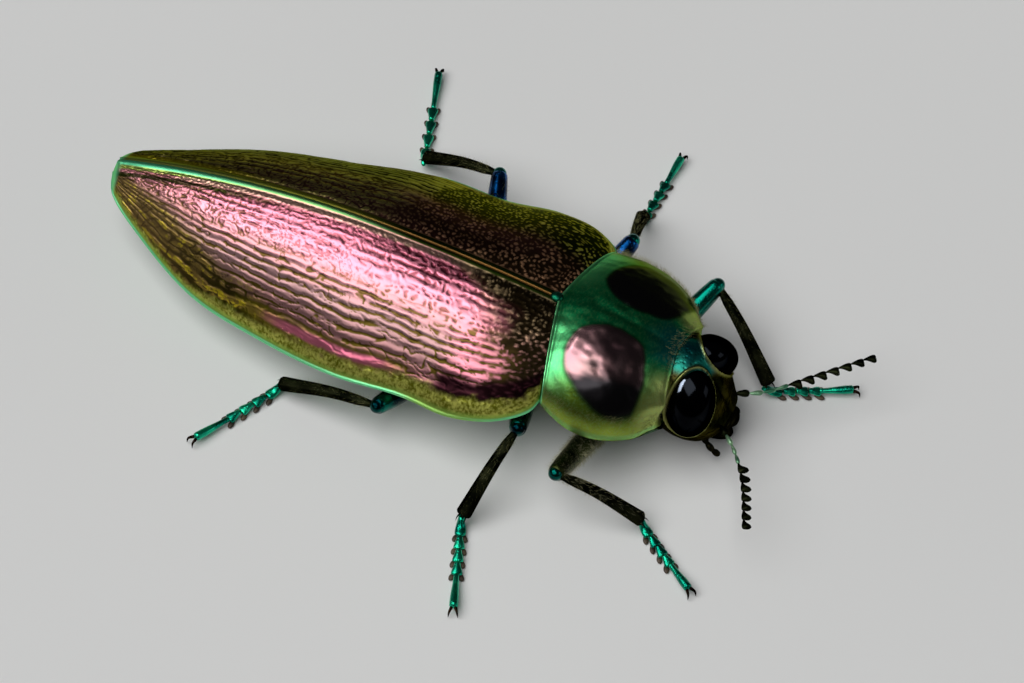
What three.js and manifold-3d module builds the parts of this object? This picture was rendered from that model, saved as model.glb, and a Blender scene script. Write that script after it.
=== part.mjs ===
// Giant metallic wood-boring beetle, life size, standing on a flat surface with its six legs spread.
// Millimetres. +X runs from tail to head, +Y is the beetle's left, +Z is up and the feet are at z = 0.
// While the pieces are shaped, x = 0 is just in front of the scutellum and y = 0 is the mid-plane.
// The finished group is then moved so that its origin is under the middle of its bounding box.
import * as THREE from "three";
import { mergeVertices } from "three/addons/utils/BufferGeometryUtils.js";
import Module from "manifold-3d";

const wasm = await Module();
wasm.setup();

// ---------------------------------------------------------------- driving dimensions
const GAP = 0.12;                  // air kept between neighbouring pieces
const WALL = 0.8;                  // thickness of a wing case
const RIM = 0.5;                   // depth of the outer rim of a wing case
const SUTURE = { crestX: -17.0, crest: 13.2, frontFall: 0.0042, rearFall: 0.0074 };
const WING_ARCH = { body: [1.9, 0.85], base: [2.4, 0.6], blendFrom: -9.0, leastRise: 0.05 };
const WING_GRID = { rows: 22, columns: 9 };
const SHOULDER = { start: -5.6, advance: 2.15 };
const APEX_NOTCH = { depth: 0.35, length: 0.9 };
const FACET = 0.04;                // how far a flat facet may stray from the curved surface
const WELD = 1e-5;                 // points nearer than this are one point

// Outer edge of the left wing case, from its tip to its front corner: x, y and height.
const WING_EDGE = [
  [-44.5, 0.85, 6.4], [-43.75, 2.5, 5.8], [-39.1, 5.5, 4.7], [-32.3, 8.9, 4.3],
  [-25.2, 10.6, 4.6], [-17.0, 12.0, 5.7], [-10.4, 11.75, 6.2], [-5.6, 12.2, 6.7],
  [-1.6, 11.35, 7.4], [0.9, 9.7, 8.15], [1.45, 8.65, 8.7],
];
// Side edge of the pronotum, from its rear corner to its front corner.
const PRONOTUM_EDGE = [
  [1.62, 8.75, 8.6], [2.7, 9.05, 8.0], [4.5, 9.4, 7.4], [6.7, 9.15, 7.0],
  [8.7, 8.3, 6.8], [10.4, 7.0, 6.6], [11.9, 5.6, 6.5],
];
const PRONOTUM = {
  rear: -0.55, front: 10.8, rearHeight: 12.15, rise: 3.88, fall: -4.93, rim: 0.3,
  sweep: [1.1, 1.5], fullness: [2.4, 2.0], power: 0.56, rows: 10, columns: 17, edgeCrowding: 1.5,
};
const SCUTELLUM = { centre: [-0.72, 0, 12.1], radii: [0.62, 0.55, 0.4] };

// Underside of the hind body. `seam` is where the abdomen meets the thorax, as a share of the wing edge.
const BELLY = {
  waist: -14.0, front: -0.4, tail: -43.2, depth: 1.8, tailHeight: 4.5, tailCurve: 1.7, frontLift: 0.35,
  rim: 0.35, arch: [1.5, 0.95], sweep: 0.3, columns: 13, seam: 0.545, seamGap: 0.003, from: 0.07, to: 0.84,
  abdomenRows: 10, thoraxRows: 6,
};
const PROSTERNUM = {
  rearHeight: 2.6, frontHeight: 3.6, edgeInset: 0.35, rim: 0.3, arch: [1.8, 0.8], rows: 7, columns: 11,
};

const HEAD = {
  top: 11.25, bottom: 2.45, width: 4.3, widthLevel: 6.2, widthReach: 5.1,
  rear: 12.0, rearDepth: 3.2, rearLevel: 6.5, rearReach: 4.85, squareness: 2.2, levels: 11, sides: 16,
};
// Profile of the face, from the top of the head to the chin: x and height.
const FACE = [[12.5, 11.25], [13.9, 9.9], [15.6, 7.0], [16.5, 4.3], [15.9, 2.45]];
const EYE = {
  centre: [13.35, 2.75, 8.05], long: [0.11, 0.542, -0.833], out: [0.1, 0.83, 0.55],
  radii: [3.15, 1.85, 2.15],
};
const ANTENNA = {
  right: [[16.1, -1.9, 5.1], [18.0, -3.6, 5.0], [19.9, -6.5, 5.4], [22.0, -11.6, 6.3]],
  left: [[16.1, 1.8, 5.1], [18.4, 3.1, 5.0], [21.6, 6.2, 5.2], [26.1, 10.6, 5.5]],
  segments: 11, stalk: 4, stem: 0.27, stalkSwell: 0.08, tooth: 0.52, toothOffset: 0.8,
  narrowAt: 0.08, wideAt: 0.82, sides: 5,
};
const MOUTH = {
  labrum: { centre: [16.55, 0, 3.95], radii: [0.55, 1.25, 0.5] },
  mandible: { centre: [15.9, 0.85, 2.75], radii: [1.05, 0.75, 0.95] },
  palp: { path: [[14.6, 1.9, 2.5], [15.8, 2.5, 1.9], [16.6, 2.4, 1.2]], radii: [0.28, 0.34] },
};

// Joints of each leg: where it leaves the body, the knee, the ankle and the tip of the foot.
const LEGS = {
  front_right: {
    hip: [6.5, -2.6, 2.1], knee: [5.1, -13.1, 6.0], ankle: [13.1, -11.7, 1.5], toe: [19.3, -16.1],
  },
  front_left: {
    hip: [6.5, 2.6, 2.1], knee: [10.6, 11.1, 6.5], ankle: [18.1, 6.2, 1.5], toe: [25.2, 9.6],
  },
  middle_right: {
    hip: [-1.8, -2.8, 1.9], knee: [0.4, -10.6, 6.6], ankle: [-1.5, -18.1, 1.5], toe: [1.5, -26.4],
  },
  middle_left: {
    hip: [-1.8, 2.8, 1.9], knee: [1.9, 11.9, 7.2], ankle: [0.45, 19.0, 1.5], toe: [1.0, 27.6],
  },
  hind_right: {
    hip: [-8.6, -3.0, 1.8], knee: [-12.2, -12.6, 4.7], ankle: [-22.1, -12.2, 1.5], toe: [-26.6, -20.4],
  },
  hind_left: {
    hip: [-8.6, 3.2, 1.8], knee: [-12.6, 14.9, 5.5], ankle: [-21.0, 16.6, 1.5], toe: [-24.3, 27.2],
  },
};
const LIMB = {
  coxa: [1.35, 1.75, 1.05],
  femurStart: 0.6, femurHip: 0.62, femurSwell: 0.5, femurKnee: 0.6, swellPlace: 0.8,
  tibiaKnee: 0.44, tibiaAnkle: 0.6, tibiaBow: 0.5, bowPlace: 0.45, kneeGap: 0.75, ankleGap: 0.25,
  steps: 5, sides: 8,
};
// Heights are above the ground. A ring is { half width, sole, top }.
const FOOT = {
  heel: { place: 0.35, half: 0.28, sole: 0.7, top: 1.3 },
  lobes: 4, lobeShare: 0.6, firstLobe: 0.75,
  notch: { place: 0.12, half: 0.3, sole: 0.1, top: 0.85 },
  lobe: { place: -0.1, half: 0.55, sole: 0, top: 0.95 },
  neck: { place: 0.05, half: 0.27, sole: 0.38, top: 0.95 },
  end: { half: 0.36, sole: 0.5, top: 1.2 },
};
const CLAW = {
  length: 1.05, spread: 0.55, root: 0.12, rootHeight: 0.85, bendHeight: 0.8, tipHeight: 0.18,
  back: 0.2, share: 0.6, rootRadius: 0.27, tipRadius: 0.13, steps: 3, sides: 5,
};

const COLOURS = {
  wing: { color: 0xb06a78, roughness: 0.32, metalness: 1.0 },
  shield: { color: 0x2f8a5a, roughness: 0.35, metalness: 1.0 },
  face: { color: 0x3a4a2a, roughness: 0.45, metalness: 0.8 },
  eye: { color: 0x120c12, roughness: 0.12, metalness: 0.0 },
  belly: { color: 0x2c6a4c, roughness: 0.4, metalness: 1.0 },
  leg: { color: 0x1c8a72, roughness: 0.3, metalness: 1.0 },
  dark: { color: 0x14140e, roughness: 0.5, metalness: 0.2 },
};

// ---------------------------------------------------------------- small helpers
const lerp = THREE.MathUtils.lerp;
const smoothstep = THREE.MathUtils.smoothstep;
const vector = (point) => new THREE.Vector3(...point);
const curveThrough = (points) => new THREE.CatmullRomCurve3(points.map(vector), false, "centripetal");
const mirrored = ([x, y, z], side) => [x, side * y, z];
const shareBetween = (x, from, to) => THREE.MathUtils.clamp((x - from) / (to - from), 0, 1);

/** Smooth curve through points given as [x, height], read back as a function of height. */
function profile(points) {
  const curve = new THREE.SplineCurve(points.map(([x, z]) => new THREE.Vector2(x, z)));
  const samples = curve.getPoints(80);
  return (z) => {
    const below = samples.findIndex((sample) => sample.y <= z);
    return below < 0 ? samples.at(-1).x : samples[below].x;
  };
}

/** Arched section: 1 on the mid-line (u = 0) and 0 at the side edge (u = 1). */
const arch = (u, fullness, power) => Math.pow(Math.max(0, 1 - Math.pow(Math.abs(u), fullness)), power);

/** Ellipse-shaped half width at a height, for a body whose widest place is at `level`. */
const ellipse = (z, level, reach) => Math.sqrt(Math.max(0, 1 - ((z - level) / reach) ** 2));

function indexed(positions, triangles) {
  const geometry = new THREE.BufferGeometry();
  geometry.setAttribute("position", new THREE.Float32BufferAttribute(positions, 3));
  geometry.setIndex(triangles);
  return geometry;
}

/** Turns a closed mesh into a solid that can be joined and cut, facing outwards. */
function toSolid(geometry) {
  const bare = geometry.clone();
  for (const name of Object.keys(bare.attributes)) {
    if (name !== "position") bare.deleteAttribute(name);
  }
  const merged = mergeVertices(bare, WELD);
  const index = merged.index.array;
  const kept = [];
  for (let i = 0; i < index.length; i += 3) {
    const [a, b, c] = [index[i], index[i + 1], index[i + 2]];
    if (a !== b && b !== c && c !== a) kept.push(a, b, c);
  }
  const position = merged.attributes.position.array;
  const triVerts = signedVolume(position, kept) < 0 ? flipped(kept) : kept;
  return new wasm.Manifold(new wasm.Mesh({
    numProp: 3,
    vertProperties: new Float32Array(position),
    triVerts: new Uint32Array(triVerts),
  }));
}

function signedVolume(position, triangles) {
  const [a, b, c] = [new THREE.Vector3(), new THREE.Vector3(), new THREE.Vector3()];
  let volume = 0;
  for (let i = 0; i < triangles.length; i += 3) {
    a.fromArray(position, triangles[i] * 3);
    b.fromArray(position, triangles[i + 1] * 3);
    c.fromArray(position, triangles[i + 2] * 3);
    volume += a.dot(b.cross(c)) / 6;
  }
  return volume;
}

function flipped(triangles) {
  const turned = [];
  for (let i = 0; i < triangles.length; i += 3) {
    turned.push(triangles[i], triangles[i + 2], triangles[i + 1]);
  }
  return turned;
}

function toGeometry(solid) {
  const mesh = solid.getMesh();
  return indexed(Array.from(mesh.vertProperties), Array.from(mesh.triVerts));
}

/** The solid with its surface pushed outwards by `distance` along its vertex normals. */
function grown(solid, distance) {
  const geometry = toGeometry(solid);
  geometry.computeVertexNormals();
  const position = geometry.attributes.position;
  const normal = geometry.attributes.normal;
  for (let i = 0; i < position.count; i++) {
    position.setXYZ(
      i,
      position.getX(i) + normal.getX(i) * distance,
      position.getY(i) + normal.getY(i) * distance,
      position.getZ(i) + normal.getZ(i) * distance,
    );
  }
  return toSolid(geometry);
}

/** Cuts the cutters, with a little air round them, out of a solid and keeps its largest piece. */
function carved(solid, ...cutters) {
  let rest = solid;
  for (const cutter of cutters) {
    rest = rest.subtract(grown(cutter, GAP));
  }
  const pieces = rest.decompose();
  const largest = pieces.reduce((best, piece) => (piece.volume() > best.volume() ? piece : best));
  return largest.simplify(FACET);
}

// ---------------------------------------------------------------- shape builders
/** Closed plate between an upper and a lower grid of points, each [row][column]. */
function plate(upper, lower) {
  const rows = upper.length;
  const columns = upper[0].length;
  const at = (layer, row, column) => (layer * rows + row) * columns + column;
  const positions = [...upper.flat(), ...lower.flat()].flatMap((p) => [p.x, p.y, p.z]);
  const triangles = [];
  const quad = (a, b, c, d) => triangles.push(a, b, c, a, c, d);
  for (let r = 0; r + 1 < rows; r++) {
    for (let c = 0; c + 1 < columns; c++) {
      quad(at(0, r, c), at(0, r + 1, c), at(0, r + 1, c + 1), at(0, r, c + 1));
      quad(at(1, r, c), at(1, r, c + 1), at(1, r + 1, c + 1), at(1, r + 1, c));
    }
    quad(at(0, r + 1, 0), at(0, r, 0), at(1, r, 0), at(1, r + 1, 0));
    quad(at(0, r, columns - 1), at(0, r + 1, columns - 1), at(1, r + 1, columns - 1), at(1, r, columns - 1));
  }
  for (let c = 0; c + 1 < columns; c++) {
    quad(at(0, 0, c), at(0, 0, c + 1), at(1, 0, c + 1), at(1, 0, c));
    quad(at(0, rows - 1, c + 1), at(0, rows - 1, c), at(1, rows - 1, c), at(1, rows - 1, c + 1));
  }
  return toSolid(indexed(positions, triangles)).simplify(FACET);
}

/** Closed body through rings of points, with a fan over each end. */
function loft(rings) {
  const sides = rings[0].length;
  const positions = rings.flat().flatMap((p) => [p.x, p.y, p.z]);
  const triangles = [];
  for (let r = 0; r + 1 < rings.length; r++) {
    for (let s = 0; s < sides; s++) {
      const next = (s + 1) % sides;
      const [a, b] = [r * sides + s, r * sides + next];
      triangles.push(a, b, b + sides, a, b + sides, a + sides);
    }
  }
  for (const [row, turn] of [[0, -1], [rings.length - 1, 1]]) {
    const middle = rings[row].reduce((sum, p) => sum.add(p), new THREE.Vector3()).divideScalar(sides);
    const hub = positions.length / 3;
    positions.push(middle.x, middle.y, middle.z);
    for (let s = 0; s < sides; s++) {
      const [a, b] = [row * sides + s, row * sides + ((s + 1) % sides)];
      triangles.push(...(turn > 0 ? [a, b, hub] : [b, a, hub]));
    }
  }
  return toSolid(indexed(positions, triangles));
}

/** Round limb along a curve; radius(t) may return one radius or [across, up]. */
function limb(curve, steps, sides, radius) {
  const rings = [];
  const up = new THREE.Vector3(0, 0, 1);
  for (let i = 0; i <= steps; i++) {
    const t = i / steps;
    const centre = curve.getPointAt(t);
    const along = curve.getTangentAt(t);
    const across = new THREE.Vector3().crossVectors(along, up).normalize();
    const over = new THREE.Vector3().crossVectors(across, along).normalize();
    const [a, b] = [radius(t)].flat().concat(radius(t));
    rings.push(ringAround(centre, across, over, a, b, sides));
  }
  return loft(rings);
}

function ringAround(centre, across, over, a, b, sides) {
  return Array.from({ length: sides }, (_, s) => {
    const angle = (2 * Math.PI * (s + 0.5)) / sides;
    return centre.clone()
      .addScaledVector(across, a * Math.cos(angle))
      .addScaledVector(over, b * Math.sin(angle));
  });
}

function ellipsoid({ centre, radii }, axes = null, across = 8, down = 6) {
  const sphere = new THREE.SphereGeometry(1, across, down);
  sphere.scale(...radii);
  if (axes) sphere.applyMatrix4(new THREE.Matrix4().makeBasis(...axes));
  sphere.translate(...centre);
  return toSolid(sphere);
}

// ---------------------------------------------------------------- body surface shared by several pieces
const wingEdge = curveThrough(WING_EDGE);
const pronotumEdge = curveThrough(PRONOTUM_EDGE);

const sutureHeight = (x) => (
  SUTURE.crest - (x > SUTURE.crestX ? SUTURE.frontFall : SUTURE.rearFall) * (x - SUTURE.crestX) ** 2
);

/** Point of the wing-case surface, `inset` below it, t from tail to front and u from suture to edge. */
function wingPoint(t, u, side, inset) {
  const edge = wingEdge.getPoint(t);
  const advance = SHOULDER.advance * smoothstep(edge.x, SHOULDER.start, WING_EDGE.at(-1)[0]);
  const tip = WING_EDGE[0][0];
  const notch = APEX_NOTCH.depth * (1 - smoothstep(edge.x, tip, tip + APEX_NOTCH.length));
  const sutureX = edge.x - advance + notch;
  const half = GAP / 2;
  const drop = inset > 0 ? RIM : 0;
  const ridge = Math.max(sutureHeight(sutureX) - inset, edge.z - drop + WING_ARCH.leastRise);
  const base = smoothstep(edge.x, WING_ARCH.blendFrom, 0);
  const fullness = lerp(WING_ARCH.body[0], WING_ARCH.base[0], base);
  const power = lerp(WING_ARCH.body[1], WING_ARCH.base[1], base);
  return new THREE.Vector3(
    lerp(sutureX, edge.x, u),
    side * (half + (edge.y - half) * u * (1 - inset / Math.max(edge.y, 2.5 * inset))),
    edge.z - drop + (ridge - edge.z + drop) * arch(u, fullness, power),
  );
}

function wingCase(side) {
  const { rows, columns } = WING_GRID;
  const grid = (inset) => Array.from({ length: rows }, (_, r) => (
    Array.from({ length: columns }, (_, c) => wingPoint(r / (rows - 1), c / (columns - 1), side, inset))
  ));
  return plate(grid(0), grid(WALL));
}

/** Underside plate of the hind body between two places along it, fitted under the wing cases. */
function hindBody(from, to, rows, bellyHeight) {
  const columns = BELLY.columns;
  const upper = [];
  const lower = [];
  for (let r = 0; r < rows; r++) {
    const t = lerp(from, to, r / (rows - 1));
    const top = [];
    const bottom = [];
    for (let c = 0; c < columns; c++) {
      const v = lerp(-1, 1, c / (columns - 1));
      const side = v < 0 ? -1 : 1;
      const roof = wingPoint(t, Math.abs(v), side, WALL + GAP);
      const edge = wingPoint(t, 1, side, WALL + GAP);
      const middle = wingPoint(t, 0, side, WALL + GAP);
      roof.x = lerp(middle.x, edge.x, BELLY.sweep);
      roof.y = Math.abs(v) < WELD ? 0 : roof.y;
      roof.z -= GAP;
      const floor = roof.clone();
      const rimHeight = edge.z - GAP - BELLY.rim;
      floor.z = rimHeight - (rimHeight - bellyHeight(roof.x)) * arch(v, ...BELLY.arch);
      top.push(roof);
      bottom.push(floor);
    }
    upper.push(top);
    lower.push(bottom);
  }
  return plate(upper, lower);
}

const abdomenBelly = (x) => (
  lerp(BELLY.depth, BELLY.tailHeight, Math.pow(shareBetween(x, BELLY.waist, BELLY.tail), BELLY.tailCurve))
);
const thoraxBelly = (x) => BELLY.depth + BELLY.frontLift * shareBetween(x, BELLY.waist, BELLY.front) ** 2;

/** Point of the pronotum: s from its rear to its front edge, v from right (-1) to left (1). */
function pronotumPoint(s, v) {
  const edge = pronotumEdge.getPoint(s);
  const middleX = lerp(PRONOTUM.rear, PRONOTUM.front, s);
  const middleZ = PRONOTUM.rearHeight + PRONOTUM.rise * s + PRONOTUM.fall * s * s;
  const sweep = Math.pow(Math.abs(v), lerp(...PRONOTUM.sweep, s));
  return new THREE.Vector3(
    lerp(middleX, edge.x, sweep),
    edge.y * v,
    edge.z + (middleZ - edge.z) * arch(v, lerp(...PRONOTUM.fullness, s), PRONOTUM.power),
  );
}

function pronotumShell() {
  const { rows, columns } = PRONOTUM;
  const upper = [];
  const lower = [];
  for (let r = 0; r < rows; r++) {
    const s = r / (rows - 1);
    const across = Array.from({ length: columns }, (_, c) => pronotumPoint(s, spread(c, columns)));
    upper.push(across);
    lower.push(across.map((p) => new THREE.Vector3(p.x, p.y, pronotumEdge.getPoint(s).z - PRONOTUM.rim)));
  }
  return plate(upper, lower);
}

/** Places across a section, closer together near the side edges. */
function spread(column, columns) {
  const v = lerp(-1, 1, column / (columns - 1));
  return Math.sign(v) * (1 - Math.pow(1 - Math.abs(v), PRONOTUM.edgeCrowding));
}

function prosternumBody() {
  const { rows, columns } = PROSTERNUM;
  const upper = [];
  const lower = [];
  for (let r = 0; r < rows; r++) {
    const s = r / (rows - 1);
    const edge = pronotumEdge.getPoint(s);
    const keel = lerp(PROSTERNUM.rearHeight, PROSTERNUM.frontHeight, s * s);
    const top = [];
    const bottom = [];
    for (let c = 0; c < columns; c++) {
      const v = spread(c, columns);
      const point = pronotumPoint(s, v);
      point.y *= 1 - PROSTERNUM.edgeInset / edge.y;
      point.z = edge.z - PRONOTUM.rim - GAP;
      const under = point.clone();
      under.z -= PROSTERNUM.rim + (point.z - PROSTERNUM.rim - keel) * arch(v, ...PROSTERNUM.arch);
      top.push(point);
      bottom.push(under);
    }
    upper.push(top);
    lower.push(bottom);
  }
  return plate(upper, lower);
}

// ---------------------------------------------------------------- head
function headCapsule() {
  const { levels, sides } = HEAD;
  const squared = (value) => Math.sign(value) * Math.pow(Math.abs(value), 2 / HEAD.squareness);
  const face = profile(FACE);
  const rings = [];
  for (let i = 0; i < levels; i++) {
    const turn = Math.cos((Math.PI * (i + 0.25)) / (levels - 0.5));
    const z = lerp(HEAD.bottom, HEAD.top, (1 + turn) / 2);
    const front = face(z);
    const rear = HEAD.rear - HEAD.rearDepth * ellipse(z, HEAD.rearLevel, HEAD.rearReach);
    const half = HEAD.width * ellipse(z, HEAD.widthLevel, HEAD.widthReach);
    const centre = (front + rear) / 2;
    const reach = (front - rear) / 2;
    rings.push(Array.from({ length: sides }, (_, s) => {
      const angle = (2 * Math.PI * s) / sides;
      const x = centre + reach * squared(Math.cos(angle));
      return new THREE.Vector3(x, half * squared(Math.sin(angle)), z);
    }));
  }
  return loft(rings);
}

function eye(side) {
  const long = vector(mirrored(EYE.long, side)).normalize();
  const out = vector(mirrored(EYE.out, side));
  const forward = new THREE.Vector3().crossVectors(long, out).normalize();
  out.crossVectors(forward, long).normalize();
  return ellipsoid({ centre: mirrored(EYE.centre, side), radii: EYE.radii }, [long, out, forward], 12, 7);
}

/** Feeler: round stalk segments, then a saw of flat teeth. */
function antenna(points, side) {
  const curve = curveThrough(points);
  const rings = [];
  const up = new THREE.Vector3(0, 0, 1);
  for (let i = 0; i < ANTENNA.segments; i++) {
    for (const [place, swell] of [[ANTENNA.narrowAt, 0], [ANTENNA.wideAt, 1]]) {
      const t = (i + place) / ANTENNA.segments;
      const centre = curve.getPointAt(t);
      const along = curve.getTangentAt(t);
      const across = new THREE.Vector3().crossVectors(along, up).normalize().multiplyScalar(side);
      const over = new THREE.Vector3().crossVectors(across, along).normalize();
      const toothed = i >= ANTENNA.stalk;
      const growth = toothed ? ANTENNA.tooth - ANTENNA.stem : ANTENNA.stalkSwell;
      centre.addScaledVector(across, toothed ? swell * growth * ANTENNA.toothOffset : 0);
      const width = ANTENNA.stem + swell * growth;
      rings.push(ringAround(centre, across, over, width, ANTENNA.stem, ANTENNA.sides));
    }
  }
  return loft(rings);
}

function mandible(side) {
  return ellipsoid({ centre: mirrored(MOUTH.mandible.centre, side), radii: MOUTH.mandible.radii });
}

function palp(side) {
  const curve = curveThrough(MOUTH.palp.path.map((point) => mirrored(point, side)));
  return limb(curve, 3, 5, (t) => lerp(...MOUTH.palp.radii, t));
}

// ---------------------------------------------------------------- legs
/** Upper leg, thickest just past the hip third and narrow at the knee. */
function femur(hip, knee) {
  const along = knee.clone().sub(hip).normalize();
  const from = hip.clone().addScaledVector(along, LIMB.femurStart);
  const curve = new THREE.CatmullRomCurve3([from, from.clone().lerp(knee, 0.5), knee]);
  const swell = (t) => LIMB.femurSwell * Math.sin(Math.PI * Math.pow(t, LIMB.swellPlace));
  return limb(curve, LIMB.steps, LIMB.sides, (t) => lerp(LIMB.femurHip, LIMB.femurKnee, t) + swell(t));
}

/** Lower leg, bowed outwards a little and widest at the ankle. */
function tibia(knee, ankle) {
  const along = ankle.clone().sub(knee).normalize();
  const from = knee.clone().addScaledVector(along, LIMB.kneeGap);
  const to = ankle.clone().addScaledVector(along, -LIMB.ankleGap);
  const bow = from.clone().lerp(to, LIMB.bowPlace);
  bow.z += LIMB.tibiaBow;
  const curve = new THREE.CatmullRomCurve3([from, bow, to]);
  return limb(curve, LIMB.steps, LIMB.sides, (t) => lerp(LIMB.tibiaKnee, LIMB.tibiaAnkle, t));
}

/** Six-sided section of a foot with a flat sole, standing across its direction. */
function soleRing(centre, across, { half, sole, top }) {
  const corners = 6;
  const reach = (top - sole) / 2 / Math.sin(Math.PI / 3);
  return Array.from({ length: corners }, (_, s) => {
    const angle = (2 * Math.PI * s) / corners;
    const point = centre.clone().addScaledVector(across, half * Math.cos(angle));
    point.z = (sole + top) / 2 + reach * Math.sin(angle);
    return point;
  });
}

/** Foot: four lobed joints whose pads lie flat on the ground, then a long claw joint with two claws. */
function foot(ankle, toe) {
  const start = new THREE.Vector3(ankle.x, ankle.y, 0);
  const end = new THREE.Vector3(toe[0], toe[1], 0);
  const along = end.clone().sub(start).normalize();
  const across = new THREE.Vector3(-along.y, along.x, 0);
  const length = start.distanceTo(end) - CLAW.length * CLAW.share;
  const lobed = length * FOOT.lobeShare;
  const step = lobed / FOOT.lobes;
  const place = (distance) => start.clone().addScaledVector(along, distance);
  const ring = (section, distance) => soleRing(place(distance), across, section);
  const rings = [ring(FOOT.heel, FOOT.heel.place)];
  for (let i = 0; i < FOOT.lobes; i++) {
    rings.push(ring(FOOT.notch, Math.max(FOOT.firstLobe, i * step + FOOT.notch.place)));
    rings.push(ring(FOOT.lobe, (i + 1) * step + FOOT.lobe.place));
  }
  rings.push(ring(FOOT.neck, lobed + FOOT.neck.place));
  rings.push(ring(FOOT.end, length));
  let solid = loft(rings);
  for (const side of [-1, 1]) {
    solid = solid.add(claw(place(length - CLAW.back), along, across, side));
  }
  return solid;
}

function claw(root, along, across, side) {
  const at = (forward, sideways, height) => {
    const point = root.clone().addScaledVector(along, forward).addScaledVector(across, side * sideways);
    point.z = height;
    return point;
  };
  const curve = new THREE.CatmullRomCurve3([
    at(0, CLAW.root, CLAW.rootHeight),
    at(CLAW.length * 0.55, CLAW.spread * 0.8, CLAW.bendHeight),
    at(CLAW.length * 0.9, CLAW.spread, CLAW.tipHeight),
  ]);
  return limb(curve, CLAW.steps, CLAW.sides, (t) => lerp(CLAW.rootRadius, CLAW.tipRadius, t));
}

// ---------------------------------------------------------------- assembly
const group = new THREE.Group();

function addPiece(name, solid, finish) {
  const mesh = new THREE.Mesh(toGeometry(solid), new THREE.MeshStandardMaterial(COLOURS[finish]));
  mesh.name = name;
  group.add(mesh);
}

const eyes = { left: eye(1), right: eye(-1) };
const feelers = { left: antenna(ANTENNA.left, 1), right: antenna(ANTENNA.right, -1) };
const labrum = ellipsoid(MOUTH.labrum, null, 10, 6);
const leftMandible = carved(mandible(1), labrum);
const mandibles = { left: leftMandible, right: carved(mandible(-1), labrum, leftMandible) };
const palps = { left: carved(palp(1), mandibles.left), right: carved(palp(-1), mandibles.right) };
const head = carved(
  headCapsule(), eyes.left, eyes.right, labrum, mandibles.left, mandibles.right,
  palps.left, palps.right, feelers.left, feelers.right,
);
const scutellum = ellipsoid(SCUTELLUM, null, 10, 6);

const legs = Object.entries(LEGS).map(([name, joints]) => {
  const knee = vector(joints.knee);
  const ankle = vector(joints.ankle);
  const coxa = ellipsoid({ centre: joints.hip, radii: LIMB.coxa });
  const thigh = carved(femur(vector(joints.hip), knee), coxa);
  return { name, coxa, thigh, shin: tibia(knee, ankle), foot: foot(ankle, joints.toe) };
});
const roots = (pair) => (
  legs.filter((leg) => leg.name.startsWith(pair)).flatMap((leg) => [leg.coxa, leg.thigh])
);

const wings = { left: carved(wingCase(1), scutellum), right: carved(wingCase(-1), scutellum) };
const pronotum = carved(pronotumShell(), head, eyes.left, eyes.right, scutellum, wings.left, wings.right);
const prosternum = carved(prosternumBody(), head, eyes.left, eyes.right, ...roots("front"));
const abdomen = carved(
  hindBody(BELLY.from, BELLY.seam, BELLY.abdomenRows, abdomenBelly), ...roots("hind"),
);
const thorax = carved(
  hindBody(BELLY.seam + BELLY.seamGap, BELLY.to, BELLY.thoraxRows, thoraxBelly),
  ...roots("hind"), ...roots("middle"),
);

addPiece("head", head, "face");
addPiece("labrum", labrum, "dark");
addPiece("pronotum", pronotum, "shield");
addPiece("prosternum", prosternum, "belly");
addPiece("scutellum", scutellum, "leg");
addPiece("thorax", thorax, "belly");
addPiece("abdomen", abdomen, "belly");
for (const side of ["left", "right"]) {
  addPiece(`eye_${side}`, eyes[side], "eye");
  addPiece(`antenna_${side}`, feelers[side], "dark");
  addPiece(`mandible_${side}`, mandibles[side], "dark");
  addPiece(`palp_${side}`, palps[side], "dark");
  addPiece(`wing_case_${side}`, wings[side], "wing");
}
for (const leg of legs) {
  addPiece(`${leg.name}_coxa`, leg.coxa, "belly");
  addPiece(`${leg.name}_femur`, leg.thigh, "leg");
  addPiece(`${leg.name}_tibia`, leg.shin, "dark");
  addPiece(`${leg.name}_foot`, leg.foot, "leg");
}

const bounds = new THREE.Box3().setFromObject(group);
const middle = bounds.getCenter(new THREE.Vector3());
group.position.set(-middle.x, -middle.y, -bounds.min.z);

export default group;
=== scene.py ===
"""Looks of a giant metallic wood-boring beetle, life size, on its six feet.

Shapes are worked out in millimetres in the beetle's own frame: +X towards the head, +Y the beetle's
left, +Z up, the floor at z = 0 and x = 0 just in front of the scutellum. Each finished mesh is then
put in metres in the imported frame, whose offset is read from the scutellum's box.
"""

from __future__ import annotations

import logging
import math
from collections.abc import Callable, Sequence
from dataclasses import dataclass, field
from enum import Enum
from functools import partial

import bpy
import numpy as np
from mathutils import Matrix, Vector

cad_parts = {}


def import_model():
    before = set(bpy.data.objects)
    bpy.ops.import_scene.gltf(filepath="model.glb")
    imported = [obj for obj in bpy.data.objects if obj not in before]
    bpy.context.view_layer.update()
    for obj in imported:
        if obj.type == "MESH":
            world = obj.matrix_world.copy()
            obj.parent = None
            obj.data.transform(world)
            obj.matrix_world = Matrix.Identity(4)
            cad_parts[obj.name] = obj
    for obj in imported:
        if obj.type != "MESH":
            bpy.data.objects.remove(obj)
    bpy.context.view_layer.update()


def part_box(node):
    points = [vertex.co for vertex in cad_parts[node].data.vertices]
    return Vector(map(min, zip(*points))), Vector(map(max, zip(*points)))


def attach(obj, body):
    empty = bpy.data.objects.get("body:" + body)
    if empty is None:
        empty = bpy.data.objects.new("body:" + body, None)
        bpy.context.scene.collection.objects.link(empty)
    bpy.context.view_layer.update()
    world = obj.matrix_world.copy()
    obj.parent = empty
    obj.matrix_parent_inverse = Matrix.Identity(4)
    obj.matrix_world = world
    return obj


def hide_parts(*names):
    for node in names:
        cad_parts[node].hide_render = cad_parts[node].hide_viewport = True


LOG = logging.getLogger("beetle")
MM = 0.001
BODY = "root"
WELD = 0.004  # millimetres within which points become one
OUTER_RIB = 0.88  # place across a wing case of the smooth magenta rib
Colour = tuple[float, float, float]
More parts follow.
